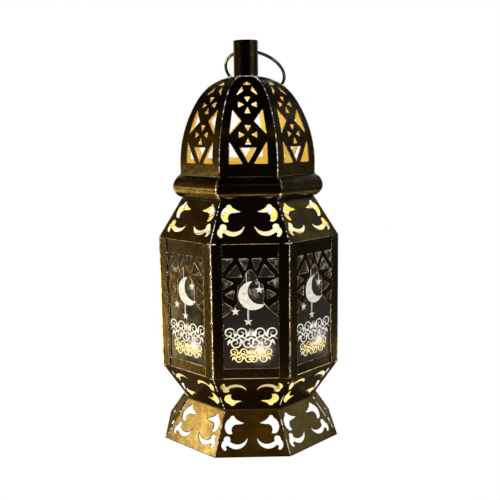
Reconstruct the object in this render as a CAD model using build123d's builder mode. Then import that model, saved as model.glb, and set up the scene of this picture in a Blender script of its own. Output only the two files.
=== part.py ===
from build123d import *
import os
from math import asin, cos, degrees, hypot, pi, radians, sin, sqrt, tan

# Octagonal sheet-metal lantern, in millimetres, +Z up.
# The origin is the middle of the footprint on the floor. Face 0 looks along -Y
# and the faces count anticlockwise seen from above. Face 4, at the back, is the door.

# Sheet, seams and clearances
face_count = 8
door_face = face_count // 2
sheet = 0.6
seam_gap = 0.1
bend_radius = 0.5
hole_corner = 0.25
cut_overrun = 2.0
running_clearance = 0.05
edge_clearance = 0.2
free_clearance = 0.3

# Bands, from the floor up
waist_apothem = 39.0
body_apothem = 54.0
foot_apothem = body_apothem
neck_apothem = 39.5
dome_apothem = 40.3
skirt_height = 23.1
floor_thickness = 0.8
bowl_height = 24.1
body_height = 79.0
shoulder_height = 23.5
collar_height = 13.0
dome_height = 58.1

# Windows
post_flange = 6.4
sill_rail = 6.0
head_rail = 8.6
arch_drop = 33.7
pane_thickness = 1.2
pane_lap = 1.2
clip_sheet = 0.5
clip_width = 4.0
clip_foot = 2.4
clip_lip = 1.4

# Door
door_stile = 3.3
door_pane_lap = 0.6
door_clip_foot = 1.8
hinge_sheet = 0.4
hinge_pad = 3.4
hinge_set = 0.4
knuckle_radius = 1.0
door_knuckle_length = 8.0
post_knuckle_length = 4.0
pin_radius = 0.6
pin_head_height = 0.6
latch_shaft_radius = 0.7
latch_head_radius = 1.1
latch_head_height = 0.4
latch_tongue_width = 1.8
latch_tongue_sheet = 0.6
latch_lap = 1.6
latch_knob_length = 5.2
latch_knob_width = 2.4
latch_knob_height = 1.4

# Collar and dome
collar_flange = 1.1
bead_depth = 4.5
dome_band = 6.5
dome_side_radius = 71.0
crown_slope_angle = 6.5

# Crown tube and ring
tube_radius = 7.5
tube_wall = 0.8
tube_height = 21.4
tube_foot_radius = 12.0
tube_foot_sheet = 0.8
ring_hole_drop = 7.1
ring_radius = 18.8
ring_wire_radius = 0.95
ring_hole_clearance = 0.6
ring_turn_angle = -24.8
lean_tolerance_angle = 0.01

# Candle tabs and tealight
tab_count = 4
tab_sheet = 0.6
tab_width = 6.0
tab_height = 5.0
tab_corner = 1.5
tab_clearance = 0.4
tealight_radius = 18.0
tealight_height = 19.0
shell_wall = 1.2
shell_rim_drop = 0.8
shell_dish_drop = 2.4
shell_rim_round = 0.5
cover_sheet = 1.2
cell_radius = 10.0
cell_height = 3.2
cell_round = 0.3
cell_seat_wall = 3.0
cell_seat_height = 0.4
board_thickness = 1.0
led_radius = 2.5
led_lead_radius = 0.3
led_lead_height = 2.0
led_height = 12.0
flame_neck_radius = 4.4
flame_foot_radius = 5.6
flame_foot_height = 0.8
flame_bulge_radius = 5.0
flame_height = 17.0
flame_wall = 1.0
switch_offset = 13.2
switch_nub_length = 3.0
switch_nub_width = 2.2
switch_travel = 3.0
switch_plate_lap = 2.5
switch_plate_sheet = 0.8

# Levels, from the floor up
floor_level = skirt_height
bowl_level = floor_level + floor_thickness
body_level = bowl_level + bowl_height
shoulder_level = body_level + body_height
collar_level = shoulder_level + shoulder_height
dome_level = collar_level + collar_height
crown_level = dome_level + dome_height
sill_level = body_level + sill_rail
head_level = shoulder_level - head_rail

# Octagon
half_step = pi / face_count
step_degrees = 360 / face_count
side_share = tan(half_step)
body_half_side = body_apothem * side_share
half_window = body_half_side - post_flange
up = Vector(0, 0, 1)
os.makedirs("parts", exist_ok=True)


def outward(face):
    """Unit vector that points out of a face."""
    angle = radians(step_degrees * face - 90)
    return Vector(cos(angle), sin(angle), 0)


def along(face):
    """Unit vector that runs along a face, anticlockwise seen from above."""
    return up.cross(outward(face))


def face_point(face, apothem, offset):
    """Plan position of a point on a face, as a pair."""
    place = outward(face) * apothem + along(face) * offset
    return (place.X, place.Y)


def section_plane(face):
    """Plane of a face's section: X is the distance from the axis and Y the height."""
    return Plane(origin=(0, 0, 0), x_dir=outward(face), z_dir=outward(face).cross(up))


def face_plane(face, apothem):
    """Upright plane of a face: X runs along the face, Y is the height and Z points out."""
    return Plane(origin=outward(face) * apothem, x_dir=along(face), z_dir=outward(face))


def mitre_outline(face, reach):
    """Corners of the plan sector that belongs to one face, less half a seam on each side."""
    start = seam_gap / 2 / sin(half_step)
    spread = reach * side_share
    corners = [(start, 0), (start + reach, -spread), (start + reach, spread)]
    return [face_point(face, apothem, offset) for apothem, offset in corners]


def keep(part, name):
    """Names a finished piece and writes it."""
    part.label = name
    export_step(part, f"parts/{name}.step")


# Pierced scrolls of the sloping bands, for the right half of a wall, each closed by arcs.
# Across is a share of half the wide edge, and up a share of the wall's slope from that edge.
leaf_shares = [
    [(0.201, 0.730), (0.340, 0.775), (0.450, 0.842)],
    [(0.450, 0.842), (0.508, 0.893), (0.580, 0.838)],
    [(0.580, 0.838), (0.716, 0.703), (0.695, 0.555)],
    [(0.695, 0.555), (0.612, 0.497), (0.520, 0.510)],
    [(0.520, 0.510), (0.545, 0.612), (0.435, 0.702)],
    [(0.435, 0.702), (0.322, 0.706), (0.201, 0.730)],
]
horn_shares = [
    [(0.130, 0.405), (0.365, 0.275), (0.600, 0.345)],
    [(0.600, 0.345), (0.676, 0.452), (0.752, 0.365)],
    [(0.752, 0.365), (0.820, 0.262), (0.765, 0.165)],
    [(0.765, 0.165), (0.715, 0.150), (0.682, 0.182)],
    [(0.682, 0.182), (0.690, 0.238), (0.640, 0.248)],
    [(0.640, 0.248), (0.375, 0.178), (0.130, 0.405)],
]


def scroll_pair(arc_shares, half_edge, slope):
    """One pierced scroll and its mirror image, as a sketch."""
    with BuildSketch() as scroll:
        with BuildLine():
            for arc in arc_shares:
                ThreePointArc(*[(x * half_edge, y * slope) for x, y in arc])
        make_face()
        mirror(about=Plane.YZ)
    return scroll.sketch


def pierced_wall(wide_apothem, wide_level, narrow_apothem, narrow_level):
    """One sloping wall of a band, on face 0, with two pairs of scrolls cut through it."""
    rise = narrow_level - wide_level
    slope = hypot(wide_apothem - narrow_apothem, rise)
    level_wall = sheet * slope / abs(rise)
    half_edge = wide_apothem * side_share
    climb = outward(0) * ((narrow_apothem - wide_apothem) / slope) + up * (rise / slope)
    wide_edge = outward(0) * wide_apothem + up * wide_level
    outline = [
        (wide_apothem, wide_level),
        (narrow_apothem, narrow_level),
        (narrow_apothem - level_wall, narrow_level),
        (wide_apothem - level_wall, wide_level),
    ]
    with BuildPart() as wall:
        with BuildSketch(section_plane(0)):
            Polygon(*outline)
        extrude(amount=half_edge, both=True)
        with BuildSketch(Plane.XY.offset(min(wide_level, narrow_level))):
            Polygon(*mitre_outline(0, wide_apothem + cut_overrun))
        extrude(amount=abs(rise), mode=Mode.INTERSECT)
        with BuildSketch(Plane(origin=wide_edge, x_dir=along(0), z_dir=along(0).cross(climb))):
            add(scroll_pair(leaf_shares, half_edge, slope))
            add(scroll_pair(horn_shares, half_edge, slope))
        extrude(amount=cut_overrun, both=True, mode=Mode.SUBTRACT)
    return wall.part


# Base skirt, lower bowl and shoulder: eight soldered walls each
skirt_wall = pierced_wall(foot_apothem, 0, waist_apothem, floor_level)
with BuildPart() as base_skirt:
    with PolarLocations(0, face_count):
        add(skirt_wall)
keep(base_skirt.part, "base_skirt")

bowl_wall = pierced_wall(body_apothem, body_level, waist_apothem, bowl_level)
with BuildPart() as lower_bowl:
    with PolarLocations(0, face_count):
        add(bowl_wall)
keep(lower_bowl.part, "lower_bowl")

shoulder_wall = pierced_wall(body_apothem, shoulder_level, neck_apothem, collar_level)
with BuildPart() as shoulder:
    with PolarLocations(0, face_count):
        add(shoulder_wall)
keep(shoulder.part, "shoulder")

# Floor plate, clamped between the skirt and the bowl
with BuildPart() as floor_plate:
    with BuildSketch(Plane.XY.offset(floor_level)):
        RegularPolygon(waist_apothem, face_count, major_radius=False, rotation=step_degrees / 2)
    extrude(amount=floor_thickness)
keep(floor_plate.part, "floor_plate")

# Window panels: an open arch below and a pierced lattice above it, for the right half.
# Across is a share of half the window, and down a share of the arch's drop from the head rail.
arch_side_shares = [
    [(0.0, 0.190), (0.140, 0.234), (0.205, 0.330)],
    [(0.205, 0.330), (0.290, 0.402), (0.440, 0.456)],
    [(0.440, 0.456), (0.468, 0.603), (0.437, 0.745)],
    [(0.437, 0.745), (0.690, 0.883), (1.0, 1.0)],
]
lattice_hole_shares = [
    [(1.0, 0.0), (0.600, 0.0), (1.0, 0.228)],
    [(0.062, 0.0), (0.410, 0.0), (0.188, 0.200)],
    [(0.500, 0.095), (0.290, 0.312), (0.880, 0.312)],
    [(1.0, 0.325), (1.0, 0.522), (0.600, 0.418)],
    [(0.915, 0.611), (0.592, 0.528), (0.602, 0.702)],
    [(1.0, 0.728), (0.685, 0.833), (1.0, 0.952)],
]


def window_point(share):
    """Place on an upright face plane of a point given as shares of the arch."""
    return (share[0] * half_window, head_level - share[1] * arch_drop)


# Everything that is cut out of one window panel
with BuildSketch() as window_opening:
    with BuildLine():
        for arc in arch_side_shares:
            ThreePointArc(*[window_point(share) for share in arc])
        arch_foot = window_point(arch_side_shares[-1][-1])
        arch_top = window_point(arch_side_shares[0][0])
        Polyline(arch_foot, (half_window, sill_level), (0, sill_level), arch_top)
    make_face()
    for hole in lattice_hole_shares:
        with BuildLine():
            FilletPolyline(*[window_point(share) for share in hole], radius=hole_corner, close=True)
        make_face()
    mirror(about=Plane.YZ)


def window_panel(face, outer_apothem, half_width, low, high):
    """Flat window panel with its lattice, its outer side at the given apothem."""
    with BuildPart() as panel:
        with BuildSketch(face_plane(face, outer_apothem)):
            with Locations((0, (low + high) / 2)):
                Rectangle(2 * half_width, high - low)
            add(window_opening.sketch, mode=Mode.SUBTRACT)
        extrude(amount=-sheet)
    return panel.part


def window_pane(face, panel_back, half_width):
    """Clear pane that lies against the back of a window panel."""
    with BuildPart() as pane:
        with BuildSketch(face_plane(face, panel_back)):
            with Locations((0, (sill_level + head_level) / 2)):
                Rectangle(2 * half_width, head_level - sill_level + 2 * pane_lap)
        extrude(amount=-pane_thickness)
    return pane.part


clip_height_shares = [0.12, 0.82]


def pane_clips(face, panel_back, half_width, foot):
    """Four bent clips that hold a pane: a foot on the panel, a step and a lip on the pane."""
    step = half_width + edge_clearance
    pane_back = panel_back - pane_thickness
    profile = [
        (step + foot, panel_back),
        (step, panel_back),
        (step, pane_back),
        (half_width - clip_lip, pane_back),
        (half_width - clip_lip, pane_back - clip_sheet),
        (step + clip_sheet, pane_back - clip_sheet),
        (step + clip_sheet, panel_back - clip_sheet),
        (step + foot, panel_back - clip_sheet),
    ]
    with BuildPart() as clips:
        for share in clip_height_shares:
            with BuildSketch(Plane.XY.offset(sill_level + share * (head_level - sill_level))):
                for side in (-1, 1):
                    Polygon(*[face_point(face, apothem, side * offset) for offset, apothem in profile])
            extrude(amount=clip_width)
    return clips.part


# Fixed windows, behind the posts' flanges
panel_apothem = body_apothem - sheet
panel_back = panel_apothem - sheet
panel_half_width = panel_back * side_share - edge_clearance
pane_half_width = half_window + pane_lap
fixed_faces = [face for face in range(face_count) if face != door_face]
for face in fixed_faces:
    panel_low = body_level + edge_clearance
    panel_high = shoulder_level - edge_clearance
    panel = window_panel(face, panel_apothem, panel_half_width, panel_low, panel_high)
    keep(panel, f"window_panel_{face + 1}")
    keep(window_pane(face, panel_back, pane_half_width), f"window_pane_{face + 1}")

with BuildPart() as window_clips:
    for face in fixed_faces:
        add(pane_clips(face, panel_back, pane_half_width, clip_foot))
keep(window_clips.part, "window_clips")

# Corner posts: folded angles that cover the panels' edges. Beside the door the flange is narrow.
leaf_half_width = half_window + door_stile
half_doorway = leaf_half_width + free_clearance


def corner_post(face):
    """Angle between a face and the next one, with the fold rounded outside and inside."""
    start = half_doorway if face == door_face else half_window
    end = half_doorway if face + 1 == door_face else half_window
    outer_fold = face_point(face, body_apothem, body_half_side)
    inner_fold = face_point(face, panel_apothem, panel_apothem * side_share)
    with BuildPart() as post:
        with BuildSketch(Plane.XY.offset(body_level)) as angle:
            Polygon(
                face_point(face, body_apothem, start),
                outer_fold,
                face_point(face + 1, body_apothem, -end),
                face_point(face + 1, panel_apothem, -end),
                inner_fold,
                face_point(face, panel_apothem, start),
            )
            fillet(angle.vertices().sort_by_distance(inner_fold)[0], bend_radius)
            fillet(angle.vertices().sort_by_distance(outer_fold)[0], bend_radius + sheet)
        extrude(amount=body_height)
    return post.part


for face in range(face_count):
    keep(corner_post(face), f"corner_post_{face + 1}")

# Collar: a hollow half-round bead whose flanges sit on the shoulder and carry the dome
bead_root = dome_apothem + seam_gap
bead_middle = (collar_level + dome_level) / 2
flange_edge = neck_apothem - collar_flange
with BuildPart() as collar_wall:
    with BuildSketch(section_plane(0)):
        with BuildLine():
            Line((flange_edge, collar_level), (bead_root, collar_level))
            ThreePointArc(
                (bead_root, collar_level),
                (bead_root + bead_depth, bead_middle),
                (bead_root, dome_level),
            )
            Polyline(
                (bead_root, dome_level),
                (flange_edge, dome_level),
                (flange_edge, dome_level - sheet),
                (bead_root, dome_level - sheet),
            )
            ThreePointArc(
                (bead_root, dome_level - sheet),
                (bead_root + bead_depth - sheet, bead_middle),
                (bead_root, collar_level + sheet),
            )
            Polyline(
                (bead_root, collar_level + sheet),
                (flange_edge, collar_level + sheet),
                (flange_edge, collar_level),
            )
        make_face()
    extrude(amount=bead_root, both=True)
    with BuildSketch(Plane.XY.offset(collar_level)):
        Polygon(*mitre_outline(0, bead_root + bead_depth + cut_overrun))
    extrude(amount=collar_height, mode=Mode.INTERSECT)
with BuildPart() as collar:
    with PolarLocations(0, face_count):
        add(collar_wall.part)
keep(collar.part, "collar")

# Dome gores, curved in two arcs. Holes on the middle line are given by the height of the point,
# half the base and the height of the base. The others are on the right half and mirrored.
# Across is a share of half the gore's foot, and up a share of the dome's height.
middle_hole_shares = [
    (0.935, 0.156, 0.903),
    (0.728, 0.102, 0.780),
    (0.682, 0.099, 0.620),
    (0.444, 0.108, 0.503),
    (0.379, 0.102, 0.318),
    (0.139, 0.285, 0.285),
]
side_hole_shares = [
    [(0.168, 0.888), (0.141, 0.840), (0.389, 0.793)],
    [(0.318, 0.733), (0.318, 0.676), (0.117, 0.704)],
    [(0.521, 0.657), (0.219, 0.543), (0.638, 0.415)],
    [(0.306, 0.441), (0.309, 0.381), (0.114, 0.411)],
    [(0.644, 0.346), (0.662, 0.129), (0.198, 0.130)],
]
side_rise_share = 0.737
spring_level = dome_level + dome_band
side_rise = side_rise_share * (dome_height - dome_band)
dome_side_angle = degrees(asin(side_rise / dome_side_radius))
crown_slope = Vector(cos(radians(crown_slope_angle)), -sin(radians(crown_slope_angle)))
gore_end = tube_radius + seam_gap
gore_half_foot = dome_apothem * side_share


def gore_point(across, height):
    """Place on an upright face plane of a point given as shares of the gore."""
    return (across * gore_half_foot, dome_level + height * dome_height)


with BuildPart() as gore:
    with BuildSketch(section_plane(0)):
        with BuildLine():
            band_line = Line((dome_apothem, dome_level), (dome_apothem, spring_level))
            side_arc = JernArc(band_line @ 1, (0, 1), dome_side_radius, dome_side_angle)
            crown_arc = TangentArc((gore_end, crown_level), side_arc @ 1, tangent=crown_slope)
            offset(amount=sheet, side=Side.LEFT)
        make_face()
    extrude(amount=gore_half_foot, both=True)
    with BuildSketch(Plane.XY.offset(dome_level)):
        Polygon(*mitre_outline(0, dome_apothem + cut_overrun))
    extrude(amount=dome_height, mode=Mode.INTERSECT)
    with BuildSketch(face_plane(0, dome_apothem)):
        for point, half_base, base in middle_hole_shares:
            corners = [gore_point(0, point), gore_point(half_base, base), gore_point(-half_base, base)]
            with BuildLine():
                FilletPolyline(*corners, radius=hole_corner, close=True)
            make_face()
        for hole in side_hole_shares:
            for side in (-1, 1):
                corners = [gore_point(side * x, y) for x, y in hole]
                with BuildLine():
                    FilletPolyline(*corners, radius=hole_corner, close=True)
                make_face()
    extrude(amount=-dome_apothem, mode=Mode.SUBTRACT)
for face in range(face_count):
    with BuildPart() as dome_panel:
        add(gore.part, rotation=(0, 0, step_degrees * face))
    keep(dome_panel.part, f"dome_panel_{face + 1}")

# Crown tube: its foot is soldered under the gores' tips, and the ring passes through its wall
crown_centre = crown_arc.arc_center
foot_drop = sqrt((crown_arc.radius - sheet) ** 2 - (tube_foot_radius - crown_centre.X) ** 2)
foot_level = crown_centre.Y + foot_drop - edge_clearance
tube_top = crown_level + tube_height
ring_level = tube_top - ring_hole_drop
ring_axis = Vector(cos(radians(ring_turn_angle)), sin(radians(ring_turn_angle)), 0)
with BuildPart() as crown_tube:
    with BuildSketch(Plane.XZ):
        Polygon(
            (tube_radius, tube_top),
            (tube_radius - tube_wall, tube_top),
            (tube_radius - tube_wall, foot_level - tube_foot_sheet),
            (tube_foot_radius, foot_level - tube_foot_sheet),
            (tube_foot_radius, foot_level),
            (tube_radius, foot_level),
        )
    revolve(axis=Axis.Z)
    with BuildSketch(Plane(origin=up * ring_level, z_dir=ring_axis)):
        Circle(ring_wire_radius + ring_hole_clearance)
    extrude(amount=tube_radius + cut_overrun, both=True, mode=Mode.SUBTRACT)
keep(crown_tube.part, "crown_tube")

# Carrying ring: hangs from the middle of the tube's wall and leans on a ridge of the dome
ring_chord = tube_radius - tube_wall / 2
ring_reach = sqrt(ring_radius**2 - ring_chord**2)
ring_side = up.cross(ring_axis)


def ridge_gap(lean):
    """Gap under the ring's lowest point to the ridge between two gores, for a lean from straight down."""
    low_point = ring_reach + ring_radius
    across = low_point * sin(radians(lean)) * cos(half_step) - crown_centre.X
    height = ring_level - low_point * cos(radians(lean)) - crown_centre.Y
    centre_distance = hypot(across, height)
    steepness = hypot(across * cos(half_step), height) / centre_distance
    return (centre_distance - crown_arc.radius) / steepness - ring_wire_radius


ring_lean = 0
lean_step = 90
while lean_step > lean_tolerance_angle:
    lean_step = lean_step / 2
    if ridge_gap(ring_lean + lean_step) < free_clearance:
        ring_lean = ring_lean + lean_step
ring_hang = ring_side * sin(radians(ring_lean)) - up * cos(radians(ring_lean))
ring_centre = up * ring_level + ring_hang * ring_reach
ring_plane = Plane(origin=ring_centre, x_dir=ring_axis, z_dir=ring_axis.cross(ring_hang))
with BuildPart(ring_plane) as carrying_ring:
    Torus(ring_radius, ring_wire_radius)
keep(carrying_ring.part, "carrying_ring")

# Door at the back: leaf, pane and clips
leaf_low = body_level + free_clearance
leaf_high = shoulder_level - free_clearance
latch_level = (leaf_low + leaf_high) / 2
latch_offset = half_window + door_stile / 2
with BuildPart() as door_panel:
    add(window_panel(door_face, body_apothem, leaf_half_width, leaf_low, leaf_high))
    with BuildSketch(face_plane(door_face, body_apothem)):
        with Locations((-latch_offset, latch_level)):
            Circle(latch_shaft_radius + running_clearance)
    extrude(amount=-sheet, mode=Mode.SUBTRACT)
keep(door_panel.part, "door_panel")

door_pane_half_width = half_window + door_pane_lap
keep(window_pane(door_face, panel_apothem, door_pane_half_width), "door_pane")
keep(pane_clips(door_face, panel_apothem, door_pane_half_width, door_clip_foot), "door_clips")

# Hinges: knuckles on the leaf between knuckles on the post, with a headed pin through each set
pin_offset = half_doorway + hinge_set
pin_apothem = body_apothem + free_clearance + knuckle_radius
pin_place = face_point(door_face, pin_apothem, pin_offset)
tab_top = body_apothem + free_clearance + hinge_sheet
leaf_pad_end = leaf_half_width - edge_clearance
post_pad_end = body_half_side - bend_radius - sheet
leaf_tab = [
    (leaf_pad_end - hinge_pad, body_apothem),
    (leaf_pad_end, body_apothem),
    (leaf_pad_end, body_apothem + free_clearance),
    (pin_offset, body_apothem + free_clearance),
    (pin_offset, tab_top),
    (leaf_pad_end - hinge_pad, tab_top),
]
post_tab = [
    (pin_offset, body_apothem),
    (post_pad_end, body_apothem),
    (post_pad_end, tab_top),
    (pin_offset, tab_top),
]
hinge_height_shares = [0.2, 0.8]
hinge_levels = [body_level + share * body_height for share in hinge_height_shares]
post_knuckle_start = door_knuckle_length / 2 + free_clearance
post_knuckle_end = post_knuckle_start + post_knuckle_length


def hinge_knuckles(tab, starts, length):
    """Knuckles of one side of the hinges, each with the tab that fastens it."""
    with BuildPart() as knuckles:
        for start in starts:
            with BuildSketch(Plane.XY.offset(start)):
                Polygon(*[face_point(door_face, apothem, offset) for offset, apothem in tab])
                with Locations(pin_place):
                    Circle(knuckle_radius)
                    Circle(pin_radius + running_clearance, mode=Mode.SUBTRACT)
            extrude(amount=length)
    return knuckles.part


leaf_starts = [level - door_knuckle_length / 2 for level in hinge_levels]
keep(hinge_knuckles(leaf_tab, leaf_starts, door_knuckle_length), "door_hinge_leaves")
post_starts = [level - post_knuckle_end for level in hinge_levels]
post_starts += [level + post_knuckle_start for level in hinge_levels]
keep(hinge_knuckles(post_tab, post_starts, post_knuckle_length), "post_hinge_leaves")

with BuildPart() as hinge_pins:
    for level in hinge_levels:
        with BuildSketch(Plane.XY.offset(level - post_knuckle_end)):
            with Locations(pin_place):
                Circle(pin_radius)
        extrude(amount=2 * post_knuckle_end)
        with BuildSketch(Plane.XY.offset(level + post_knuckle_end)):
            with Locations(pin_place):
                Circle(knuckle_radius)
        extrude(amount=pin_head_height)
keep(hinge_pins.part, "hinge_pins")

# Turn latch, at rest with its tongue upright and clear of the post
tongue_front = panel_apothem - free_clearance
tongue_back = tongue_front - latch_tongue_sheet
tongue_reach = half_doorway - latch_offset + latch_lap
knob_back = body_apothem + free_clearance
with BuildPart() as latch_knob:
    with BuildSketch(face_plane(door_face, knob_back)):
        with Locations((-latch_offset, latch_level)):
            SlotOverall(latch_knob_length, latch_knob_width, rotation=90)
    extrude(amount=latch_knob_height)
    with BuildSketch(face_plane(door_face, knob_back)):
        with Locations((-latch_offset, latch_level)):
            Circle(latch_shaft_radius)
    extrude(amount=tongue_back - knob_back)
    with BuildSketch(face_plane(door_face, tongue_back)):
        with Locations((-latch_offset, latch_level)):
            Circle(latch_head_radius)
    extrude(amount=-latch_head_height)
keep(latch_knob.part, "latch_knob")

with BuildPart() as latch_tongue:
    with BuildSketch(face_plane(door_face, tongue_front)):
        with Locations((-latch_offset, latch_level + (tongue_reach - latch_tongue_width / 2) / 2)):
            SlotOverall(tongue_reach + latch_tongue_width / 2, latch_tongue_width, rotation=90)
        with Locations((-latch_offset, latch_level)):
            Circle(latch_shaft_radius + running_clearance, mode=Mode.SUBTRACT)
    extrude(amount=-latch_tongue_sheet)
keep(latch_tongue.part, "latch_tongue")

# Upright tabs on the floor plate that hold the tealight
with BuildPart() as candle_tab:
    with BuildSketch(face_plane(0, tealight_radius + tab_clearance)) as tab_face:
        with Locations((0, bowl_level + tab_height / 2)):
            Rectangle(tab_width, tab_height)
        fillet(tab_face.vertices().group_by(Axis.Y)[-1], tab_corner)
    extrude(amount=tab_sheet)
with BuildPart() as candle_tabs:
    with PolarLocations(0, tab_count):
        add(candle_tab.part)
keep(candle_tabs.part, "candle_tabs")

# Tealight, built up from its own floor
candle_level = bowl_level + seam_gap
cover_bottom = candle_level + edge_clearance
cover_top = cover_bottom + cover_sheet
cell_bottom = cover_top + cell_seat_height
board_bottom = cell_bottom + cell_height + edge_clearance
board_top = board_bottom + board_thickness
shell_top = candle_level + tealight_height
shell_bore = tealight_radius - shell_wall
ledge_radius = shell_bore - shell_wall
dish_rim = shell_top - shell_rim_drop
dish_middle = shell_top - shell_dish_drop
flame_hole = flame_neck_radius + seam_gap
with BuildPart() as tealight_shell:
    with BuildSketch(Plane.XZ):
        Polygon(
            (tealight_radius, candle_level),
            (tealight_radius, shell_top),
            (shell_bore, shell_top),
            (shell_bore, dish_rim),
            (flame_hole, dish_middle),
            (flame_hole, dish_middle - shell_wall),
            (ledge_radius, dish_rim - shell_wall),
            (ledge_radius, board_top),
            (shell_bore, board_top),
            (shell_bore, candle_level),
        )
    revolve(axis=Axis.Z)
    fillet(tealight_shell.edges().group_by(Axis.Z)[-1], shell_rim_round)
keep(tealight_shell.part, "tealight_shell")

# Battery cover with the coin cell's seat and the slot of the switch
slot_length = switch_nub_length + switch_travel + 2 * edge_clearance
slot_width = switch_nub_width + 2 * edge_clearance
with BuildPart() as battery_cover:
    with BuildSketch(Plane.XY.offset(cover_bottom)):
        Circle(shell_bore - seam_gap)
        with Locations((0, -switch_offset)):
            Rectangle(slot_length, slot_width, mode=Mode.SUBTRACT)
    extrude(amount=cover_sheet)
    with BuildSketch(Plane.XY.offset(cover_top)):
        Circle(cell_radius)
        Circle(cell_radius - cell_seat_wall, mode=Mode.SUBTRACT)
    extrude(amount=cell_seat_height)
keep(battery_cover.part, "battery_cover")

with BuildPart() as coin_cell:
    with BuildSketch(Plane.XY.offset(cell_bottom)):
        Circle(cell_radius)
    extrude(amount=cell_height)
    fillet(coin_cell.edges(), cell_round)
keep(coin_cell.part, "coin_cell")

with BuildPart() as tealight_board:
    with BuildSketch(Plane.XY.offset(board_bottom)):
        Circle(shell_bore - seam_gap)
    extrude(amount=board_thickness)
keep(tealight_board.part, "tealight_board")

# Switch slider, at the end of its slot where the light is on
switch_place = (-switch_travel / 2, -switch_offset)
with BuildPart() as switch_slider:
    with BuildSketch(Plane.XY.offset(cover_bottom)):
        with Locations(switch_place):
            Rectangle(switch_nub_length, switch_nub_width)
    extrude(amount=cover_sheet + running_clearance)
    with BuildSketch(Plane.XY.offset(cover_top + running_clearance)):
        with Locations(switch_place):
            Rectangle(switch_nub_length + 2 * switch_plate_lap, slot_width + switch_nub_width / 2)
    extrude(amount=switch_plate_sheet)
keep(switch_slider.part, "switch_slider")

# Light-emitting diode on its two leads
led_bottom = board_top + led_lead_height
led_top = led_bottom + led_height
with BuildPart() as tealight_led:
    with BuildSketch(Plane.XY.offset(board_top)):
        with GridLocations(led_radius, 0, 2, 1):
            Circle(led_lead_radius)
    extrude(amount=led_lead_height)
    with BuildSketch(Plane.XY.offset(led_bottom)):
        Circle(led_radius)
    extrude(amount=led_height - led_radius)
    with BuildSketch(Plane.XZ):
        with BuildLine():
            Polyline((led_radius, led_top - led_radius), (0, led_top - led_radius), (0, led_top))
            RadiusArc((0, led_top), (led_radius, led_top - led_radius), led_radius)
        make_face()
    revolve(axis=Axis.Z)
keep(tealight_led.part, "tealight_led")

# Flame: a hollow drop whose foot is held under the shell's dish
flame_foot_top = dish_middle - shell_wall - edge_clearance
flame_foot_bottom = flame_foot_top - flame_foot_height
flame_tip = dish_middle + flame_height
flame_belly = dish_middle + flame_bulge_radius
flame_bore = flame_neck_radius - flame_wall
with BuildPart() as tealight_flame:
    with BuildSketch(Plane.XZ):
        with BuildLine():
            Polyline(
                (flame_bore, flame_foot_bottom),
                (flame_foot_radius, flame_foot_bottom),
                (flame_foot_radius, flame_foot_top),
                (flame_neck_radius, flame_foot_top),
                (flame_neck_radius, dish_middle),
            )
            Spline((flame_neck_radius, dish_middle), (flame_bulge_radius, flame_belly), (0, flame_tip))
            Polyline(
                (0, flame_tip),
                (0, flame_belly + flame_bore),
                (flame_bore, flame_belly),
                (flame_bore, flame_foot_bottom),
            )
        make_face()
    revolve(axis=Axis.Z)
keep(tealight_flame.part, "tealight_flame")
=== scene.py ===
"""Looks of an eight-sided pierced-metal lantern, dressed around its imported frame."""

import logging
from dataclasses import dataclass, replace
from enum import Enum
from math import atan2, cos, hypot, pi, radians, sin, sqrt
from typing import Any, Sequence

import bpy
from mathutils import Matrix, Vector

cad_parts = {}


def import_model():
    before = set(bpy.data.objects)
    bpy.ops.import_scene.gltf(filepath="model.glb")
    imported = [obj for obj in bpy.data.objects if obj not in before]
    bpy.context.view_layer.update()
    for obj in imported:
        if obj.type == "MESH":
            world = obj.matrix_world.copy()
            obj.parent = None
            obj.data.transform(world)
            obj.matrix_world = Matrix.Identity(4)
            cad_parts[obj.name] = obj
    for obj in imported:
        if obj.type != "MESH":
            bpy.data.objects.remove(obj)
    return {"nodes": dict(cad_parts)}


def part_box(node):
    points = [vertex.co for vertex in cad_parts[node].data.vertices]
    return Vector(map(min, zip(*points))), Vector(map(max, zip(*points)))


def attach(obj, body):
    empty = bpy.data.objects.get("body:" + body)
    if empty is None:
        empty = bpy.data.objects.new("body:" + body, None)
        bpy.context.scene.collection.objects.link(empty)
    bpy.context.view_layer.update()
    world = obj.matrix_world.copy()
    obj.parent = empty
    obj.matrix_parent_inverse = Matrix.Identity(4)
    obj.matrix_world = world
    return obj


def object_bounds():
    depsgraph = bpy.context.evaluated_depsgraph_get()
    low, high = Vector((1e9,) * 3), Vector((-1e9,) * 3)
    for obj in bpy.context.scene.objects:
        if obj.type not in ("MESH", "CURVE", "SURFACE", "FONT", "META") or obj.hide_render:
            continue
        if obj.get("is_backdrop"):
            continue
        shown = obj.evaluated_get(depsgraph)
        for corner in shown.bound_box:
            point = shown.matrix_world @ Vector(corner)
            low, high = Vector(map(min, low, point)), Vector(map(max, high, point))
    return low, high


LOG = logging.getLogger("lantern")
FACES = 8
FACE_STEP = 2 * pi / FACES
DOOR_FACE = FACES // 2
NO_FACE = -1
RIDGE_BEARING = -pi / 2 + FACE_STEP / 2

Point = tuple[float, float]
Place = tuple[float, float, float]
Colour = tuple[float, float, float, float]
Socket = bpy.types.NodeSocket


def tint(red: float, green: float, blue: float) -> Colour:
    """Opaque colour from three linear shares."""
    return (red, green, blue, 1.0)


BLACK = tint(0.0, 0.0, 0.0)
WHITE = tint(1.0, 1.0, 1.0)
BRIGHT_EDGE = tint(0.82, 0.74, 0.58)


def add_object(name: str, data: Any) -> bpy.types.Object:
    """Puts a mesh, light or camera into the scene.

    Args:
        name: the object's name.
        data: what it shows.

    Returns:
        The object, at the origin.
    """
    made = bpy.data.objects.new(name, data)
    bpy.context.scene.collection.objects.link(made)
    return made


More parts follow.
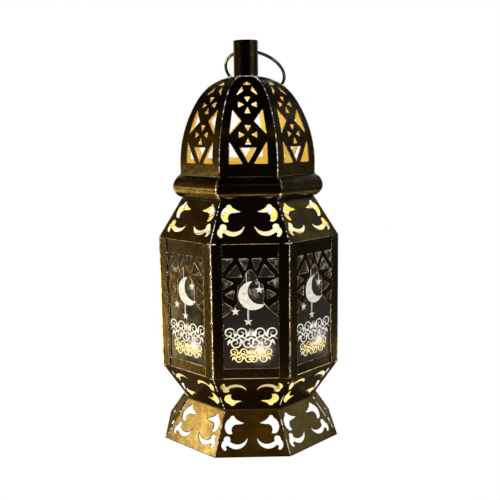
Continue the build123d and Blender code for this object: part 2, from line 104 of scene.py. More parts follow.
class Wiring:
    """Adds nodes to one tree and joins them."""

    def __init__(self, tree: bpy.types.NodeTree) -> None:
        """Takes the tree that the nodes go into."""
        self.tree = tree

    def feed(self, socket: Socket, value: Any) -> None:
        """Links an input to another socket, or sets its constant.

        Args:
            socket: the input.
            value: an output socket or a constant.
        """
        if isinstance(value, bpy.types.NodeSocket):
            self.tree.links.new(value, socket)
        else:
            socket.default_value = value

    def node(self, kind: str, values: dict[Any, Any] | None = None, **settings: Any) -> Any:
        """Adds a node and feeds its inputs.

        Args:
            kind: the node's type.
            values: sockets or constants, by the input's name or number.
            settings: properties of the node.

        Returns:
            The node's outputs.
        """
        made = self.tree.nodes.new(kind)
        for name, value in settings.items():
            setattr(made, name, value)
        for key, value in (values or {}).items():
            self.feed(made.inputs[key], value)
        return made.outputs

    def math(self, operation: str, *values: Any) -> Socket:
        """Adds a sum, product or other function of numbers."""
        return self.node("ShaderNodeMath", dict(enumerate(values)), operation=operation)[0]

    def blend(self, factor: Any, first: Any, second: Any) -> Socket:
        """Adds a mix of two numbers, by the share of the second."""
        return self.node("ShaderNodeMix", {0: factor, 2: first, 3: second}, data_type="FLOAT")[0]

    def mix(self, factor: Any, first: Any, second: Any) -> Socket:
        """Adds a mix of two colours, by the share of the second."""
        return self.node("ShaderNodeMix", {0: factor, 6: first, 7: second}, data_type="RGBA")[2]

    def ramp(self, value: Any, low: float, high: float) -> Socket:
        """Adds a smooth step from 0 at the low value to 1 at the high one."""
        values = {"Value": value, "From Min": low, "From Max": high}
        return self.node("ShaderNodeMapRange", values, interpolation_type="SMOOTHSTEP")["Result"]

    def noise(self, place: Socket, scale: Any, octaves: float, roughness: float) -> Socket:
        """Adds a noise over a place, about 0 to 1, with its scale per metre."""
        values = {"Vector": place, "Scale": scale, "Detail": octaves, "Roughness": roughness}
        return self.node("ShaderNodeTexNoise", values)["Fac"]

    def vector(self, *parts: Any) -> Socket:
        """Joins three numbers to a vector."""
        return self.node("ShaderNodeCombineXYZ", dict(enumerate(parts)))[0]

    def dot(self, first: Any, second: Any) -> Socket:
        """Adds the dot product of two vectors."""
        return self.node("ShaderNodeVectorMath", {0: first, 1: second}, operation="DOT_PRODUCT")["Value"]

    def span(self, run: Any, rise: Any) -> Socket:
        """Adds the length of a run and a rise at right angles."""
        square = self.math("MULTIPLY_ADD", rise, rise, self.math("MULTIPLY", run, run))
        return self.math("SQRT", square)

    def place(self) -> Socket:
        """Adds the object's own coordinates."""
        return self.node("ShaderNodeTexCoord")["Object"]

    def spot(self) -> Any:
        """Adds the object's own coordinates, split into X, Y and Z."""
        return self.node("ShaderNodeSeparateXYZ", {0: self.place()})

    def by_ray(self, room: Socket, seen: Socket) -> Socket:
        """Joins a shader for the light that falls on things and one for what the camera sees."""
        ray = self.node("ShaderNodeLightPath")["Is Camera Ray"]
        return self.node("ShaderNodeMixShader", {0: ray, 1: room, 2: seen})[0]


def shader_group(name: str, inputs: dict[str, float], outputs: dict[str, str]) -> tuple[Wiring, Any]:
    """Starts a shader node group.

    Args:
        name: the group's name.
        inputs: names of its numbers, with their defaults.
        outputs: names of the masks, values and normals that it puts out, with their kinds.

    Returns:
        The group's wiring, and its inputs as sockets to draw from.
    """
    tree = bpy.data.node_groups.new(name, "ShaderNodeTree")
    for label, value in inputs.items():
        tree.interface.new_socket(label, in_out="INPUT", socket_type="NodeSocketFloat").default_value = value
    for label, kind in outputs.items():
        tree.interface.new_socket(label, in_out="OUTPUT", socket_type="NodeSocket" + kind)
    wiring = Wiring(tree)
    return wiring, wiring.node("NodeGroupInput")


@dataclass(frozen=True)
class SheetSides:
    """Effect that tells a wall's sides apart by the angle between a face and the wall that it belongs to."""

    inner_start: float = 0.55
    inner_full: float = 0.7
    cut_start: float = 0.6
    cut_full: float = 0.45

    def group(self) -> bpy.types.NodeTree:
        """Builds the group.

        Returns:
            The group: masks of the inner side and the cut edges, and the distance from the wall's middle.
        """
        outputs = {"Inner": "Float", "Cut": "Float", "Across": "Float"}
        wiring, given = shader_group("sheet_sides", {"Sine of tilt": 0.0}, outputs)
        spot = wiring.spot()
        azimuth = wiring.math("ARCTAN2", spot["Y"], spot["X"])
        face = wiring.math("ROUND", wiring.math("DIVIDE", azimuth, FACE_STEP))
        bearing = wiring.math("MULTIPLY", face, FACE_STEP)
        east, north = wiring.math("COSINE", bearing), wiring.math("SINE", bearing)
        sine = given["Sine of tilt"]
        cosine = wiring.math("SQRT", wiring.math("SUBTRACT", 1.0, wiring.math("MULTIPLY", sine, sine)))
        level = [wiring.math("MULTIPLY", cosine, way) for way in (east, north)]
        normal = wiring.node("ShaderNodeTexCoord")["Normal"]
        facing = wiring.dot(normal, wiring.vector(*level, sine))
        inward = wiring.math("MULTIPLY", facing, -1.0)
        ahead, aside = wiring.math("MULTIPLY", spot["Y"], east), wiring.math("MULTIPLY", spot["X"], north)
        masks = {
            "Inner": wiring.ramp(inward, self.inner_start, self.inner_full),
            "Cut": wiring.ramp(wiring.math("ABSOLUTE", facing), self.cut_start, self.cut_full),
            "Across": wiring.math("SUBTRACT", ahead, aside),
        }
        wiring.node("NodeGroupOutput", masks)
        return wiring.tree


@dataclass(frozen=True)
class Patina:
    """Effect that clouds and speckles a finish."""

    cloud_octaves: float = 4.0
    cloud_roughness: float = 0.62
    cloud_low: float = 0.36
    cloud_high: float = 0.68
    speck_octaves: float = 2.0
    speck_roughness: float = 0.5
    speck_low: float = 0.5
    speck_high: float = 0.72
    waves_per_cloud: float = 4.0
    wave_octaves: float = 1.0
    wave_roughness: float = 0.4
    wave_height: float = 4.0

    def group(self) -> bpy.types.NodeTree:
        """Builds the group.

        Returns:
            The group, with broad clouds, fine specks and a height for bump.
        """
        inputs = {"Cloud scale": 60.0, "Speck scale": 1400.0}
        outputs = {"Clouds": "Float", "Specks": "Float", "Height": "Float"}
        wiring, given = shader_group("patina", inputs, outputs)
        place, cloud_scale = wiring.place(), given["Cloud scale"]
        broad = wiring.noise(place, cloud_scale, self.cloud_octaves, self.cloud_roughness)
        fine = wiring.noise(place, given["Speck scale"], self.speck_octaves, self.speck_roughness)
        wave_scale = wiring.math("MULTIPLY", cloud_scale, self.waves_per_cloud)
        waves = wiring.noise(place, wave_scale, self.wave_octaves, self.wave_roughness)
        marks = {
            "Clouds": wiring.ramp(broad, self.cloud_low, self.cloud_high),
            "Specks": wiring.ramp(fine, self.speck_low, self.speck_high),
            "Height": wiring.math("MULTIPLY_ADD", waves, self.wave_height, fine),
        }
        wiring.node("NodeGroupOutput", marks)
        return wiring.tree


@dataclass(frozen=True)
class EdgeWear:
    """Effect that rounds the edges of a sheet, and tells where they and its folds are rubbed bright."""

    samples: int = 6
    wear_start: float = 0.985
    wear_full: float = 0.90
    patch_scale: float = 260.0
    patch_octaves: float = 2.0
    patch_roughness: float = 0.5
    patch_low: float = 0.3
    patch_high: float = 0.6

    def group(self) -> bpy.types.NodeTree:
        """Builds the group.

        Returns:
            The group, with a mask of the rubbed places and the rounded normal.
        """
        outputs = {"Wear": "Float", "Normal": "Vector"}
        wiring, given = shader_group("edge_wear", {"Width": 0.0004, "Fold width": 0.0}, outputs)
        rounded = wiring.node("ShaderNodeBevel", {"Radius": given["Width"]}, samples=self.samples)[0]
        flatness = wiring.dot(rounded, wiring.node("ShaderNodeNewGeometry")["Normal"])
        spot = wiring.spot()
        azimuth = wiring.math("ARCTAN2", spot["Y"], spot["X"])
        steps = wiring.math("ADD", wiring.math("DIVIDE", azimuth, FACE_STEP), 0.5)
        off_fold = wiring.math("SUBTRACT", steps, wiring.math("ROUND", steps))
        angle = wiring.math("ABSOLUTE", wiring.math("MULTIPLY", off_fold, FACE_STEP))
        aside = wiring.math("MULTIPLY", angle, wiring.span(spot["X"], spot["Y"]))
        fold = wiring.math("LESS_THAN", aside, given["Fold width"])
        rubbed = wiring.math("MAXIMUM", wiring.ramp(flatness, self.wear_start, self.wear_full), fold)
        noise = wiring.noise(wiring.place(), self.patch_scale, self.patch_octaves, self.patch_roughness)
        wear = wiring.math("MULTIPLY", rubbed, wiring.ramp(noise, self.patch_low, self.patch_high))
        wiring.node("NodeGroupOutput", {"Wear": wear, "Normal": rounded})
        return wiring.tree


class Palette:
    """The effects that the finishes share, built once."""

    def __init__(self) -> None:
        """Builds the groups."""
        self.sides = SheetSides().group()
        self.patina = Patina().group()
        self.wear = EdgeWear().group()


class Surface(Wiring):
    """A new material: its nodes, its surface shader and the effects that it can place."""

    def __init__(self, palette: Palette, name: str) -> None:
        """Starts a material on a plain surface shader.

        Args:
            palette: the shared effects.
            name: the material's name.
        """
        self.palette = palette
        self.material = bpy.data.materials.new(name)
        self.material.use_nodes = True
        super().__init__(self.material.node_tree)
        self.shader = self.tree.nodes["Principled BSDF"]

    def set(self, name: str, value: Any) -> None:
        """Feeds one of the shader's inputs."""
        self.feed(self.shader.inputs[name], value)

    def effect(self, group: bpy.types.NodeTree, values: dict[str, Any]) -> Any:
        """Places a shared effect with its own values."""
        return self.node("ShaderNodeGroup", values, node_tree=group)

    def sides(self, sine: Any = 0.0) -> Any:
        """Places the effect that tells a wall's sides apart, for a tilt."""
        return self.effect(self.palette.sides, {"Sine of tilt": sine})

    def patina(self, cloud_scale: float, speck_scale: float) -> Any:
        """Places the patina, with clouds and specks so often in a metre."""
        return self.effect(self.palette.patina, {"Cloud scale": cloud_scale, "Speck scale": speck_scale})

    def glow(self, colour: Any, strength: float) -> None:
        """Sets the light that the surface gives off."""
        self.set("Emission Color", colour)
        self.set("Emission Strength", strength)

    def bump(self, height: Socket, strength: float, depth: float, normal: Socket | None = None) -> None:
        """Feeds a height into the shader's normal.

        Args:
            height: the height's socket.
            strength: share of the bump.
            depth: how deep a height of 1 is, in metres.
            normal: the normal that it starts from, if not the surface's own.
        """
        values = {"Strength": strength, "Distance": depth, "Height": height}
        if normal is not None:
            values["Normal"] = normal
        self.set("Normal", self.node("ShaderNodeBump", values)["Normal"])


class Finish:
    """A surface finish, which each kind paints with its own nodes."""

    def material(self, palette: Palette, name: str) -> bpy.types.Material:
        """Makes the finish.

        Args:
            palette: the shared effects.
            name: the material's name.

        Returns:
            The material.
        """
        surface = Surface(palette, name)
        self.paint(surface)
        return surface.material

    def paint(self, surface: Surface) -> None:
        """Wires the finish into a new material."""
        raise NotImplementedError


@dataclass(frozen=True)
class Tilt:
    """Lean of a wall: the sine of its normal's angle above the horizon."""

    steady: float = 0.0

    def sine(self, wiring: Wiring) -> Any:
        """The lean, as a number or as a socket of the material."""
        return self.steady


@dataclass(frozen=True)
class DomeTilt(Tilt):
    """Lean of a gore, which grows along two arcs from the foot to the crown."""

    spring_level: float = 0.0
    side_radius: float = 1.0
    crown_centre: float = 0.0
    crown_radius: float = 1.0

    def sine(self, wiring: Wiring) -> Any:
        """Works the lean out from the height.

        Args:
            wiring: the material's wiring.

        Returns:
            The lean's socket.
        """
        height = wiring.spot()["Z"]
        arcs = ((self.spring_level, self.side_radius), (self.crown_centre, self.crown_radius))
        sines = [wiring.math("DIVIDE", wiring.math("SUBTRACT", height, low), radius) for low, radius in arcs]
        steep = wiring.math("MAXIMUM", wiring.math("MAXIMUM", *sines), 0.0)
        return wiring.math("MINIMUM", steep, 1.0)


@dataclass(frozen=True)
class SheetFinish(Finish):
    """Dark bronze lacquer on sheet metal, gold inside and bare along its cut edges."""

    tilt: Tilt = Tilt()
    deep: Colour = tint(0.050, 0.031, 0.008)
    bright: Colour = tint(0.200, 0.124, 0.026)
    inside: Colour = tint(0.82, 0.64, 0.15)
    cut_edge: Colour = tint(0.52, 0.36, 0.15)
    rubbed: Colour = tint(0.60, 0.47, 0.27)
    smooth: float = 0.17
    dull: float = 0.28
    rubbed_roughness: float = 0.2
    metallic: float = 0.92
    inside_metallic: float = 0.25
    coat: float = 0.15
    coat_roughness: float = 0.22
    edge_width: float = 0.0005
    fold_width: float = 0.0
    # Glow of the painted highlight on the rubbed edges.
    painted_edge_highlight: float = 0.0
    cloud_scale: float = 85.0
    speck_scale: float = 1500.0
    mottle_share: float = 0.5
    grain: float = 0.22
    grain_depth: float = 0.00012
    # Painted shade: a dark line along the seams with the posts, and darker towards the top rail.
    painted_shade: Colour = tint(0.010, 0.006, 0.002)
    shade_seam: float = 0.0
    shade_seam_width: float = 0.0007
    shade_level: float = 0.0
    shade_fade: float = 0.016
    top_shade_share: float = 0.68

    def with_painted_shade(self, surface: Surface, across: Socket, sheet: Socket) -> Socket:
        """Paints shade on a panel: a dark line along its seams with the posts, and darker towards its top
        rail.

        Args:
            surface: the material.
            across: distance from the middle of the wall.
            sheet: the colour without the painted shade.

        Returns:
            The darkened colour.
        """
        # Painted shade mask: the post seams, and a fade up to the top rail.
        aside = surface.math("ABSOLUTE", across)
        seam = surface.ramp(aside, self.shade_seam - self.shade_seam_width, self.shade_seam)
        high = surface.ramp(surface.spot()["Z"], self.shade_level - self.shade_fade, self.shade_level)
        dark = surface.math("MAXIMUM", seam, surface.math("MULTIPLY", high, self.top_shade_share))
        return surface.mix(dark, sheet, self.painted_shade)

    def paint(self, surface: Surface) -> None:
        """Wires the mottled lacquer, the sheet's sides and its rubbed edges.

        Args:
            surface: the new material.
        """
        patina = surface.patina(self.cloud_scale, self.speck_scale)
        clouds = patina["Clouds"]
        sides = surface.sides(self.tilt.sine(surface))
        widths = {"Width": self.edge_width, "Fold width": self.fold_width}
        edges = surface.effect(surface.palette.wear, widths)
        inner, wear = sides["Inner"], edges["Wear"]
        marks = surface.math("ADD", clouds, patina["Specks"])
        lacquer = surface.mix(surface.math("MULTIPLY", marks, self.mottle_share), self.deep, self.bright)
        # Panels only: painted shade along their post seams and top rail.
        if self.shade_seam:
            lacquer = self.with_painted_shade(surface, sides["Across"], lacquer)
        sheet = surface.mix(sides["Cut"], surface.mix(inner, lacquer, self.inside), self.cut_edge)
        rough = surface.blend(clouds, self.dull, self.smooth)
        surface.set("Base Color", surface.mix(wear, sheet, self.rubbed))
        surface.set("Metallic", surface.blend(inner, self.metallic, self.inside_metallic))
        surface.set("Roughness", surface.blend(wear, rough, self.rubbed_roughness))
        surface.set("Coat Weight", surface.blend(inner, self.coat, 0.0))
        surface.set("Coat Roughness", self.coat_roughness)
        # Painted highlight: the rubbed edges glow in their bright colour.
        if self.painted_edge_highlight:
            surface.glow(surface.mix(wear, BLACK, self.rubbed), self.painted_edge_highlight)
        surface.bump(patina["Height"], self.grain, self.grain_depth, edges["Normal"])


@dataclass(frozen=True)
class MetalFinish(Finish):
    """Bare or bronzed metal with a light stain. A level plate may have a rim of another colour."""

    colour: Colour
    stain: Colour
    roughness: float
    metallic: float = 1.0
    glow: float = 0.0
    rim: Colour | None = None
    stain_roughness: float = 0.14
    cloud_scale: float = 220.0
    speck_scale: float = 2200.0
    grain: float = 0.15
    grain_depth: float = 0.00008

    def paint(self, surface: Surface) -> None:
        """Wires the stain, the rim and the glow.

        Args:
            surface: the new material.
        """
        patina = surface.patina(self.cloud_scale, self.speck_scale)
        clouds = patina["Clouds"]
        colour = surface.mix(clouds, self.stain, self.colour)
        if self.rim:
            colour = surface.mix(surface.sides(1.0)["Cut"], colour, self.rim)
        surface.set("Base Color", colour)
        # Painted highlight: the metal glows in its own colour.
        if self.glow:
            surface.glow(colour, self.glow)
        surface.set("Roughness", surface.blend(clouds, self.roughness + self.stain_roughness, self.roughness))
        surface.set("Metallic", self.metallic)
        surface.bump(patina["Height"], self.grain, self.grain_depth)


@dataclass(frozen=True)
class PaneFinish(Finish):
    """Smoked sheet: dark, glossy and a little see-through outside, frosted inside, with painted light round
    the flame.
    """

    lit_across: float
    lit_level: float
    colour: Colour = tint(0.012, 0.011, 0.010)
    frost: Colour = tint(0.72, 0.69, 0.63)
    painted_glow: Colour = tint(0.0110, 0.0096, 0.0078)
    near_flame: Colour = tint(0.52, 0.38, 0.33)
    near: float = 0.0005
    far: float = 0.0125
    glint: Colour = tint(1.0, 0.95, 0.92)
    glint_radius: float = 0.0032
    sheen: Colour = tint(0.30, 0.28, 0.24)
    sheen_scale: float = 260.0
    sheen_octaves: float = 2.0
    sheen_roughness: float = 0.55
    sheen_low: float = 0.52
    sheen_high: float = 0.72
    sheen_start: float = 0.090
    sheen_full: float = 0.104
    cover: float = 0.94
    roughness: float = 0.09
    smear_roughness: float = 0.12
    frost_roughness: float = 0.8
    refraction: float = 1.55
    cloud_scale: float = 120.0
    speck_scale: float = 900.0

    def paint(self, surface: Surface) -> None:
        """Wires the smoked and frosted sides, and the painted light: a glow round the flame, its glint and
        sheen high up.

        Args:
            surface: the new material.
        """
        clouds = surface.patina(self.cloud_scale, self.speck_scale)["Clouds"]
        sides, level = surface.sides(), surface.spot()["Z"]
        inner = sides["Inner"]
        smear = surface.blend(clouds, self.roughness, self.roughness + self.smear_roughness)
        surface.set("Roughness", surface.blend(inner, smear, self.frost_roughness))
        surface.set("Base Color", surface.mix(inner, self.colour, self.frost))
        # Painted light: a faint glow over the pane, a pool of light and a glint round the flame, and patchy
        # sheen high up.
        aside = surface.math("SUBTRACT", sides["Across"], self.lit_across)
        away = surface.span(aside, surface.math("SUBTRACT", level, self.lit_level))
        close = surface.ramp(away, self.far, self.near)
        lit = surface.mix(surface.math("MULTIPLY", close, close), self.painted_glow, self.near_flame)
        noise = surface.noise(surface.place(), self.sheen_scale, self.sheen_octaves, self.sheen_roughness)
        streaks = surface.ramp(noise, self.sheen_low, self.sheen_high)
        high = surface.ramp(level, self.sheen_start, self.sheen_full)
        shiny = surface.mix(surface.math("MULTIPLY", streaks, high), lit, self.sheen)
        outside = surface.mix(surface.ramp(away, self.glint_radius, self.glint_radius / 2), shiny, self.glint)
        surface.glow(surface.mix(inner, outside, self.painted_glow), 1.0)
        surface.set("Alpha", self.cover)
        surface.set("IOR", self.refraction)


@dataclass(frozen=True)
class InkFinish(Finish):
    """Print on a pane: an opaque, worn ink that the light inside makes glow a little."""

    colour: Colour
    fleck: Colour
    glow: float
    thin_share: float = 0.42
    roughness: float = 0.5
    worn_roughness: float = 0.7
    cloud_scale: float = 420.0
    speck_scale: float = 560.0
    grain: float = 0.2
    grain_depth: float = 0.00003

    def paint(self, surface: Surface) -> None:
        """Wires the ink and where it is worn.

        Args:
            surface: the new material.
        """
        patina = surface.patina(self.cloud_scale, self.speck_scale)
        thin = surface.math("MULTIPLY", patina["Clouds"], self.thin_share)
        ink = surface.mix(surface.math("MAXIMUM", patina["Specks"], thin), self.colour, self.fleck)
        surface.set("Base Color", ink)
        surface.glow(ink, self.glow)
        surface.set("Roughness", surface.blend(patina["Clouds"], self.roughness, self.worn_roughness))
        surface.bump(patina["Height"], self.grain, self.grain_depth)


@dataclass(frozen=True)
class PlasticFinish(Finish):
    """Moulded plastic, plain or lit from inside."""

    colour: Colour
    roughness: float = 0.42
    glow: float = 0.0
    shade_share: float = 0.86
    speck_roughness: float = 0.6
    cloud_scale: float = 150.0
    speck_scale: float = 2600.0
    grain: float = 0.1
    grain_depth: float = 0.00005

    def paint(self, surface: Surface) -> None:
        """Wires the plastic's clouded colour and its glow.

        Args:
            surface: the new material.
        """
        patina = surface.patina(self.cloud_scale, self.speck_scale)
        shade = tint(*(self.shade_share * share for share in self.colour[:3]))
        colour = surface.mix(patina["Clouds"], shade, self.colour)
        surface.set("Base Color", colour)
        surface.set("Roughness", surface.blend(patina["Specks"], self.roughness, self.speck_roughness))
        if self.glow:
            surface.glow(colour, self.glow)
        surface.bump(patina["Height"], self.grain, self.grain_depth)


@dataclass(frozen=True)
class FlameFinish(Finish):
    """Frosted flame, brightest at a small spot on its front and back."""

    spot: Point
    frost: Colour = tint(0.80, 0.66, 0.60)
    core: Colour = tint(1.0, 0.97, 0.94)
    halo: Colour = tint(0.62, 0.36, 0.20)
    dim: Colour = tint(0.30, 0.15, 0.07)
    core_radius: float = 0.0024
    halo_radius: float = 0.0062
    glow: float = 2.4
    smooth: float = 0.35
    rough: float = 0.55
    cloud_scale: float = 300.0
    speck_scale: float = 2600.0
    grain: float = 0.1
    grain_depth: float = 0.00005

    def paint(self, surface: Surface) -> None:
        """Wires the frost and the light behind it.

        Args:
            surface: the new material.
        """
        patina = surface.patina(self.cloud_scale, self.speck_scale)
        place = surface.spot()
        across = surface.math("SUBTRACT", place["X"], self.spot[0])
        away = surface.span(across, surface.math("SUBTRACT", place["Z"], self.spot[1]))
        faint = surface.mix(surface.ramp(away, self.halo_radius, self.core_radius), self.dim, self.halo)
        lit = surface.mix(surface.ramp(away, self.core_radius, self.core_radius / 2), faint, self.core)
        surface.glow(lit, self.glow)
        surface.set("Base Color", self.frost)
        surface.set("Roughness", surface.blend(patina["Clouds"], self.smooth, self.rough))
        surface.bump(patina["Height"], self.grain, self.grain_depth)


class Ink(Enum):
    """Inks of the prints on the panes."""

    WHITE = "white"
    GOLD = "gold"


class Plates:
    """Collects thin flat plates that lie on the outside of the front pane."""

    def __init__(self, apothem: float, thickness: float, sill: float) -> None:
        """Takes the pane's place.

        Args:
            apothem: the pane's distance from the axis.
            thickness: how far the plates stand out.
            sill: the pane's lower edge, which heights are measured from.
        """
        self.back = -apothem
        self.front = -apothem - thickness
        self.sill = sill
        self.places: list[Place] = []
        self.faces: list[tuple[int, ...]] = []

    def outline(self, points: Sequence[Point]) -> None:
        """Adds a plate with the given outline, anticlockwise seen from outside.

        Args:
            points: places across the pane and above the sill.
        """
        first, count = len(self.places), len(points)
        for depth in (self.front, self.back):
            self.places += [(across, depth, self.sill + height) for across, height in points]
        self.faces.append(tuple(range(first, first + count)))
        self.faces.append(tuple(range(first + 2 * count - 1, first + count - 1, -1)))
        for index in range(count):
            after = (index + 1) % count
            self.faces.append((first + index, first + count + index, first + count + after, first + after))

    def stroke(self, points: Sequence[Point], widths: Sequence[float]) -> None:
        """Adds a ribbon along a line.

        Args:
            points: the line, across the pane and above the sill.
            widths: the ribbon's width at each point.
        """
        first, last = len(self.places), len(points) - 1
        for index, (across, height) in enumerate(points):
            ahead, behind = points[min(index + 1, last)], points[max(index - 1, 0)]
            run, rise = ahead[0] - behind[0], ahead[1] - behind[1]
            share = widths[index] / 2 / hypot(run, rise)
            left = (across - rise * share, self.sill + height + run * share)
            right = (across + rise * share, self.sill + height - run * share)
            self.places += [(end[0], self.front, end[1]) for end in (left, right)]
            self.places += [(end[0], self.back, end[1]) for end in (right, left)]
        for station in range(first, first + 4 * last, 4):
            for side in range(4):
                after = (side + 1) % 4
                self.faces.append((station + side, station + after, station + after + 4, station + side + 4))
        self.faces.append((first + 3, first + 2, first + 1, first))
        end = first + 4 * last
        self.faces.append((end, end + 1, end + 2, end + 3))

    def object(self, name: str) -> bpy.types.Object:
        """Makes one mesh object of all the plates.

        Args:
            name: the object's name.

        Returns:
            The object.
        """
        mesh = bpy.data.meshes.new(name)
        mesh.from_pydata(self.places, [], self.faces)
        mesh.update()
        return add_object(name, mesh)


@dataclass(frozen=True)
class Sky:
    """Crescent, hung stars and their threads, by places across a pane and above its sill."""

    moon_place: Point = (0.0014, 0.0442)
    moon_radius: float = 0.0084
    bite_place: Point = (0.0059, 0.0466)
    bite_radius: float = 0.0076
    star_places: tuple[Point, ...] = ((0.0050, 0.0476), (-0.0088, 0.0350), (-0.0015, 0.0290))
    star_radius: float = 0.0025
    star_waist_share: float = 0.42
    star_points: int = 5
    threads: tuple[tuple[Point, Point], ...] = (
        ((-0.0023, 0.0588), (-0.0023, 0.0515)),
        ((0.0050, 0.0532), (0.0050, 0.0496)),
        ((-0.0018, 0.0362), (-0.0018, 0.0310)),
        ((-0.0012, 0.0362), (-0.0012, 0.0310)),
    )
    thread_width: float = 0.00032
    arc_steps: int = 28

    def circle_arc(self, centre: Point, radius: float, start: float, end: float) -> list[Point]:
        """Points along an arc.

        Args:
            centre: the arc's centre.
            radius: its radius.
            start: its first angle.
            end: its last angle.

        Returns:
            The points.
        """
        turns = [start + (end - start) * index / self.arc_steps for index in range(self.arc_steps + 1)]
        return [(centre[0] + radius * cos(turn), centre[1] + radius * sin(turn)) for turn in turns]

    def crescent(self) -> list[Point]:
        """Outline of a disc with a round bite out of its upper right.

        Returns:
            The outline.
        """
        run = self.bite_place[0] - self.moon_place[0]
        rise = self.bite_place[1] - self.moon_place[1]
        apart = hypot(run, rise)
        toward = atan2(rise, run)
        reach = (apart**2 + self.moon_radius**2 - self.bite_radius**2) / (2 * apart)
        half_chord = sqrt(self.moon_radius**2 - reach**2)
        outer = atan2(half_chord, reach)
        inner = atan2(half_chord, reach - apart)
        disc = self.circle_arc(self.moon_place, self.moon_radius, toward + outer, toward + 2 * pi - outer)
        bite = self.circle_arc(self.bite_place, self.bite_radius, toward - inner, toward - 2 * pi + inner)
        return disc + bite[1:-1]

    def star(self, centre: Point) -> list[Point]:
        """Outline of a star.

        Args:
            centre: its middle.

        Returns:
            The outline.
        """
        points = []
        for index in range(2 * self.star_points):
            radius = self.star_radius * (self.star_waist_share if index % 2 else 1.0)
            angle = pi / 2 + pi / self.star_points * index
            points.append((centre[0] + radius * cos(angle), centre[1] + radius * sin(angle)))
        return points

    def draw(self, plates: Plates) -> None:
        """Adds the crescent, the stars and the threads that they hang on.

        Args:
            plates: where they go.
        """
        plates.outline(self.crescent())
        for centre in self.star_places:
            plates.outline(self.star(centre))
        for thread in self.threads:
            plates.stroke(thread, [self.thread_width] * 2)


@dataclass(frozen=True)
class Vine:
    """Band of curls and leaves on a low wavy stem, alike on both sides of a pane's middle."""

    level: float
    tall: float
    reach: float
    width: float
    start: float = 0.0001
    curls: int = 4
    steps: int = 28
    tail_share: float = 0.35
    sway_share: float = 0.16
    sway_lead_share: float = 0.1
    stem_taper_share: float = 0.6
    stem_taper_power: int = 4
    eye_shares: Point = (0.62, 0.52)
    curl_reach_share: float = 0.66
    curl_start: float = 0.72 * pi
    curl_turns: float = 1.45
    curl_wind_share: float = 0.86
    curl_end_share: float = 0.45
    curl_lead_share: float = 0.08
    spring_shares: Point = (0.55, 0.12)
    leaf_shares: tuple[Place, ...] = ((0.95, 0.78, 0.75), (0.35, 0.62, 0.55))
    bud_shares: tuple[tuple[Point, Point], ...] = (((0.13, 0.08), (0.20, 1.05)), ((0.25, 0.18), (0.55, 0.86)))
    bud_belly_share: float = 0.5
    leaf_steps: int = 8
    leaf_foot_share: float = 1.25
    leaf_taper_share: float = 0.5

    def at(self, along: float, lift: float) -> Point:
        """Place so many curls along the stem, and a share of the band's height above it."""
        return (self.reach / (self.curls + self.tail_share) * along, self.level + lift * self.tall)

    def stem(self, plates: Plates) -> None:
        """Adds the wavy stem.

        Args:
            plates: where it goes.
        """
        steps = 2 * self.steps
        pitch = self.at(1, 0)[0]
        for side in (1, -1):
            points, widths = [], []
            for index in range(steps + 1):
                across = self.reach * index / steps
                sway = sin(pi * (across / pitch - self.sway_lead_share))
                points.append((side * (across + self.start), self.at(0, -self.sway_share * sway)[1]))
                taper = self.stem_taper_share * (index / steps) ** self.stem_taper_power
                widths.append(self.width * (1.0 - taper))
            plates.stroke(points, widths)

    def curl(self, plates: Plates, eye: Point, lift: int) -> None:
        """Adds a curl that winds in to an eye, and its mirror image.

        Args:
            plates: where it goes.
            eye: the curl's middle.
            lift: 1 for a curl above the stem, -1 for one below it.
        """
        for side in (1, -1):
            points, widths = [], []
            for index in range(self.steps + 1):
                share = index / self.steps
                radius = self.curl_reach_share * self.tall * (1 - self.curl_wind_share * share)
                angle = -lift * (self.curl_start + 2 * pi * self.curl_turns * share)
                points.append((side * (eye[0] + radius * cos(angle)), eye[1] + radius * sin(angle)))
                swell = sin(pi * min(share + self.curl_lead_share, 1.0))
                widths.append(self.width * (self.curl_end_share + (1 - self.curl_end_share) * swell))
            plates.stroke(points, widths)

    def leaf(self, plates: Plates, root: Point, tip: Point, belly: float) -> None:
        """Adds a pointed leaf and its mirror image.

        Args:
            plates: where it goes.
            root: the leaf's foot.
            tip: its point.
            belly: half its width.
        """
        run, rise = tip[0] - root[0], tip[1] - root[1]
        length = hypot(run, rise)
        shares = [index / self.leaf_steps for index in range(self.leaf_steps + 1)]
        taper, foot = self.leaf_taper_share, self.leaf_foot_share
        edge = [(share, belly * sin(pi * share) * (foot - taper * share)) for share in shares]
        ring = [(share, -swell) for share, swell in edge] + edge[-2:0:-1]
        for side in (1, -1):
            points = []
            for share, swell in ring:
                across = root[0] + run * share - rise / length * swell
                points.append((side * across, root[1] + rise * share + run / length * swell))
            plates.outline(points if side > 0 else points[::-1])

    def draw(self, plates: Plates) -> None:
        """Adds the stem, its curls and leaves, and the bud in the middle.

        Args:
            plates: where they go.
        """
        self.stem(plates)
        for index in range(self.curls):
            lift = 1 if index % 2 else -1
            self.curl(plates, self.at(index + self.eye_shares[0], lift * self.eye_shares[1]), lift)
            spring = self.at(index + self.spring_shares[0], -lift * self.spring_shares[1])
            for along, drop, belly in self.leaf_shares:
                self.leaf(plates, spring, self.at(index + along, -lift * drop), self.width * belly)
        for root, tip in self.bud_shares:
            self.leaf(plates, self.at(*root), self.at(*tip), self.width * self.bud_belly_share)


@dataclass(frozen=True)
class PanePrint:
    """Print of one pane: a crescent, hung stars and two bands of leafy curls."""

    apothem: float
    sill: float
    thickness: float = 0.00005
    sky: Sky = Sky()
    upper_band: Vine = Vine(level=0.0194, tall=0.0055, reach=0.0150, width=0.00085)
    lower_band: Vine = Vine(level=0.0090, tall=0.0038, reach=0.0122, width=0.00075)

    def plates(self, ink: Ink) -> Plates:
        """Draws everything of one ink.

        Args:
            ink: which ink.

        Returns:
            The plates.
        """
        plates = Plates(self.apothem, self.thickness, self.sill)
        for art in (self.sky, self.upper_band) if ink is Ink.WHITE else (self.lower_band,):
            art.draw(plates)
        return plates


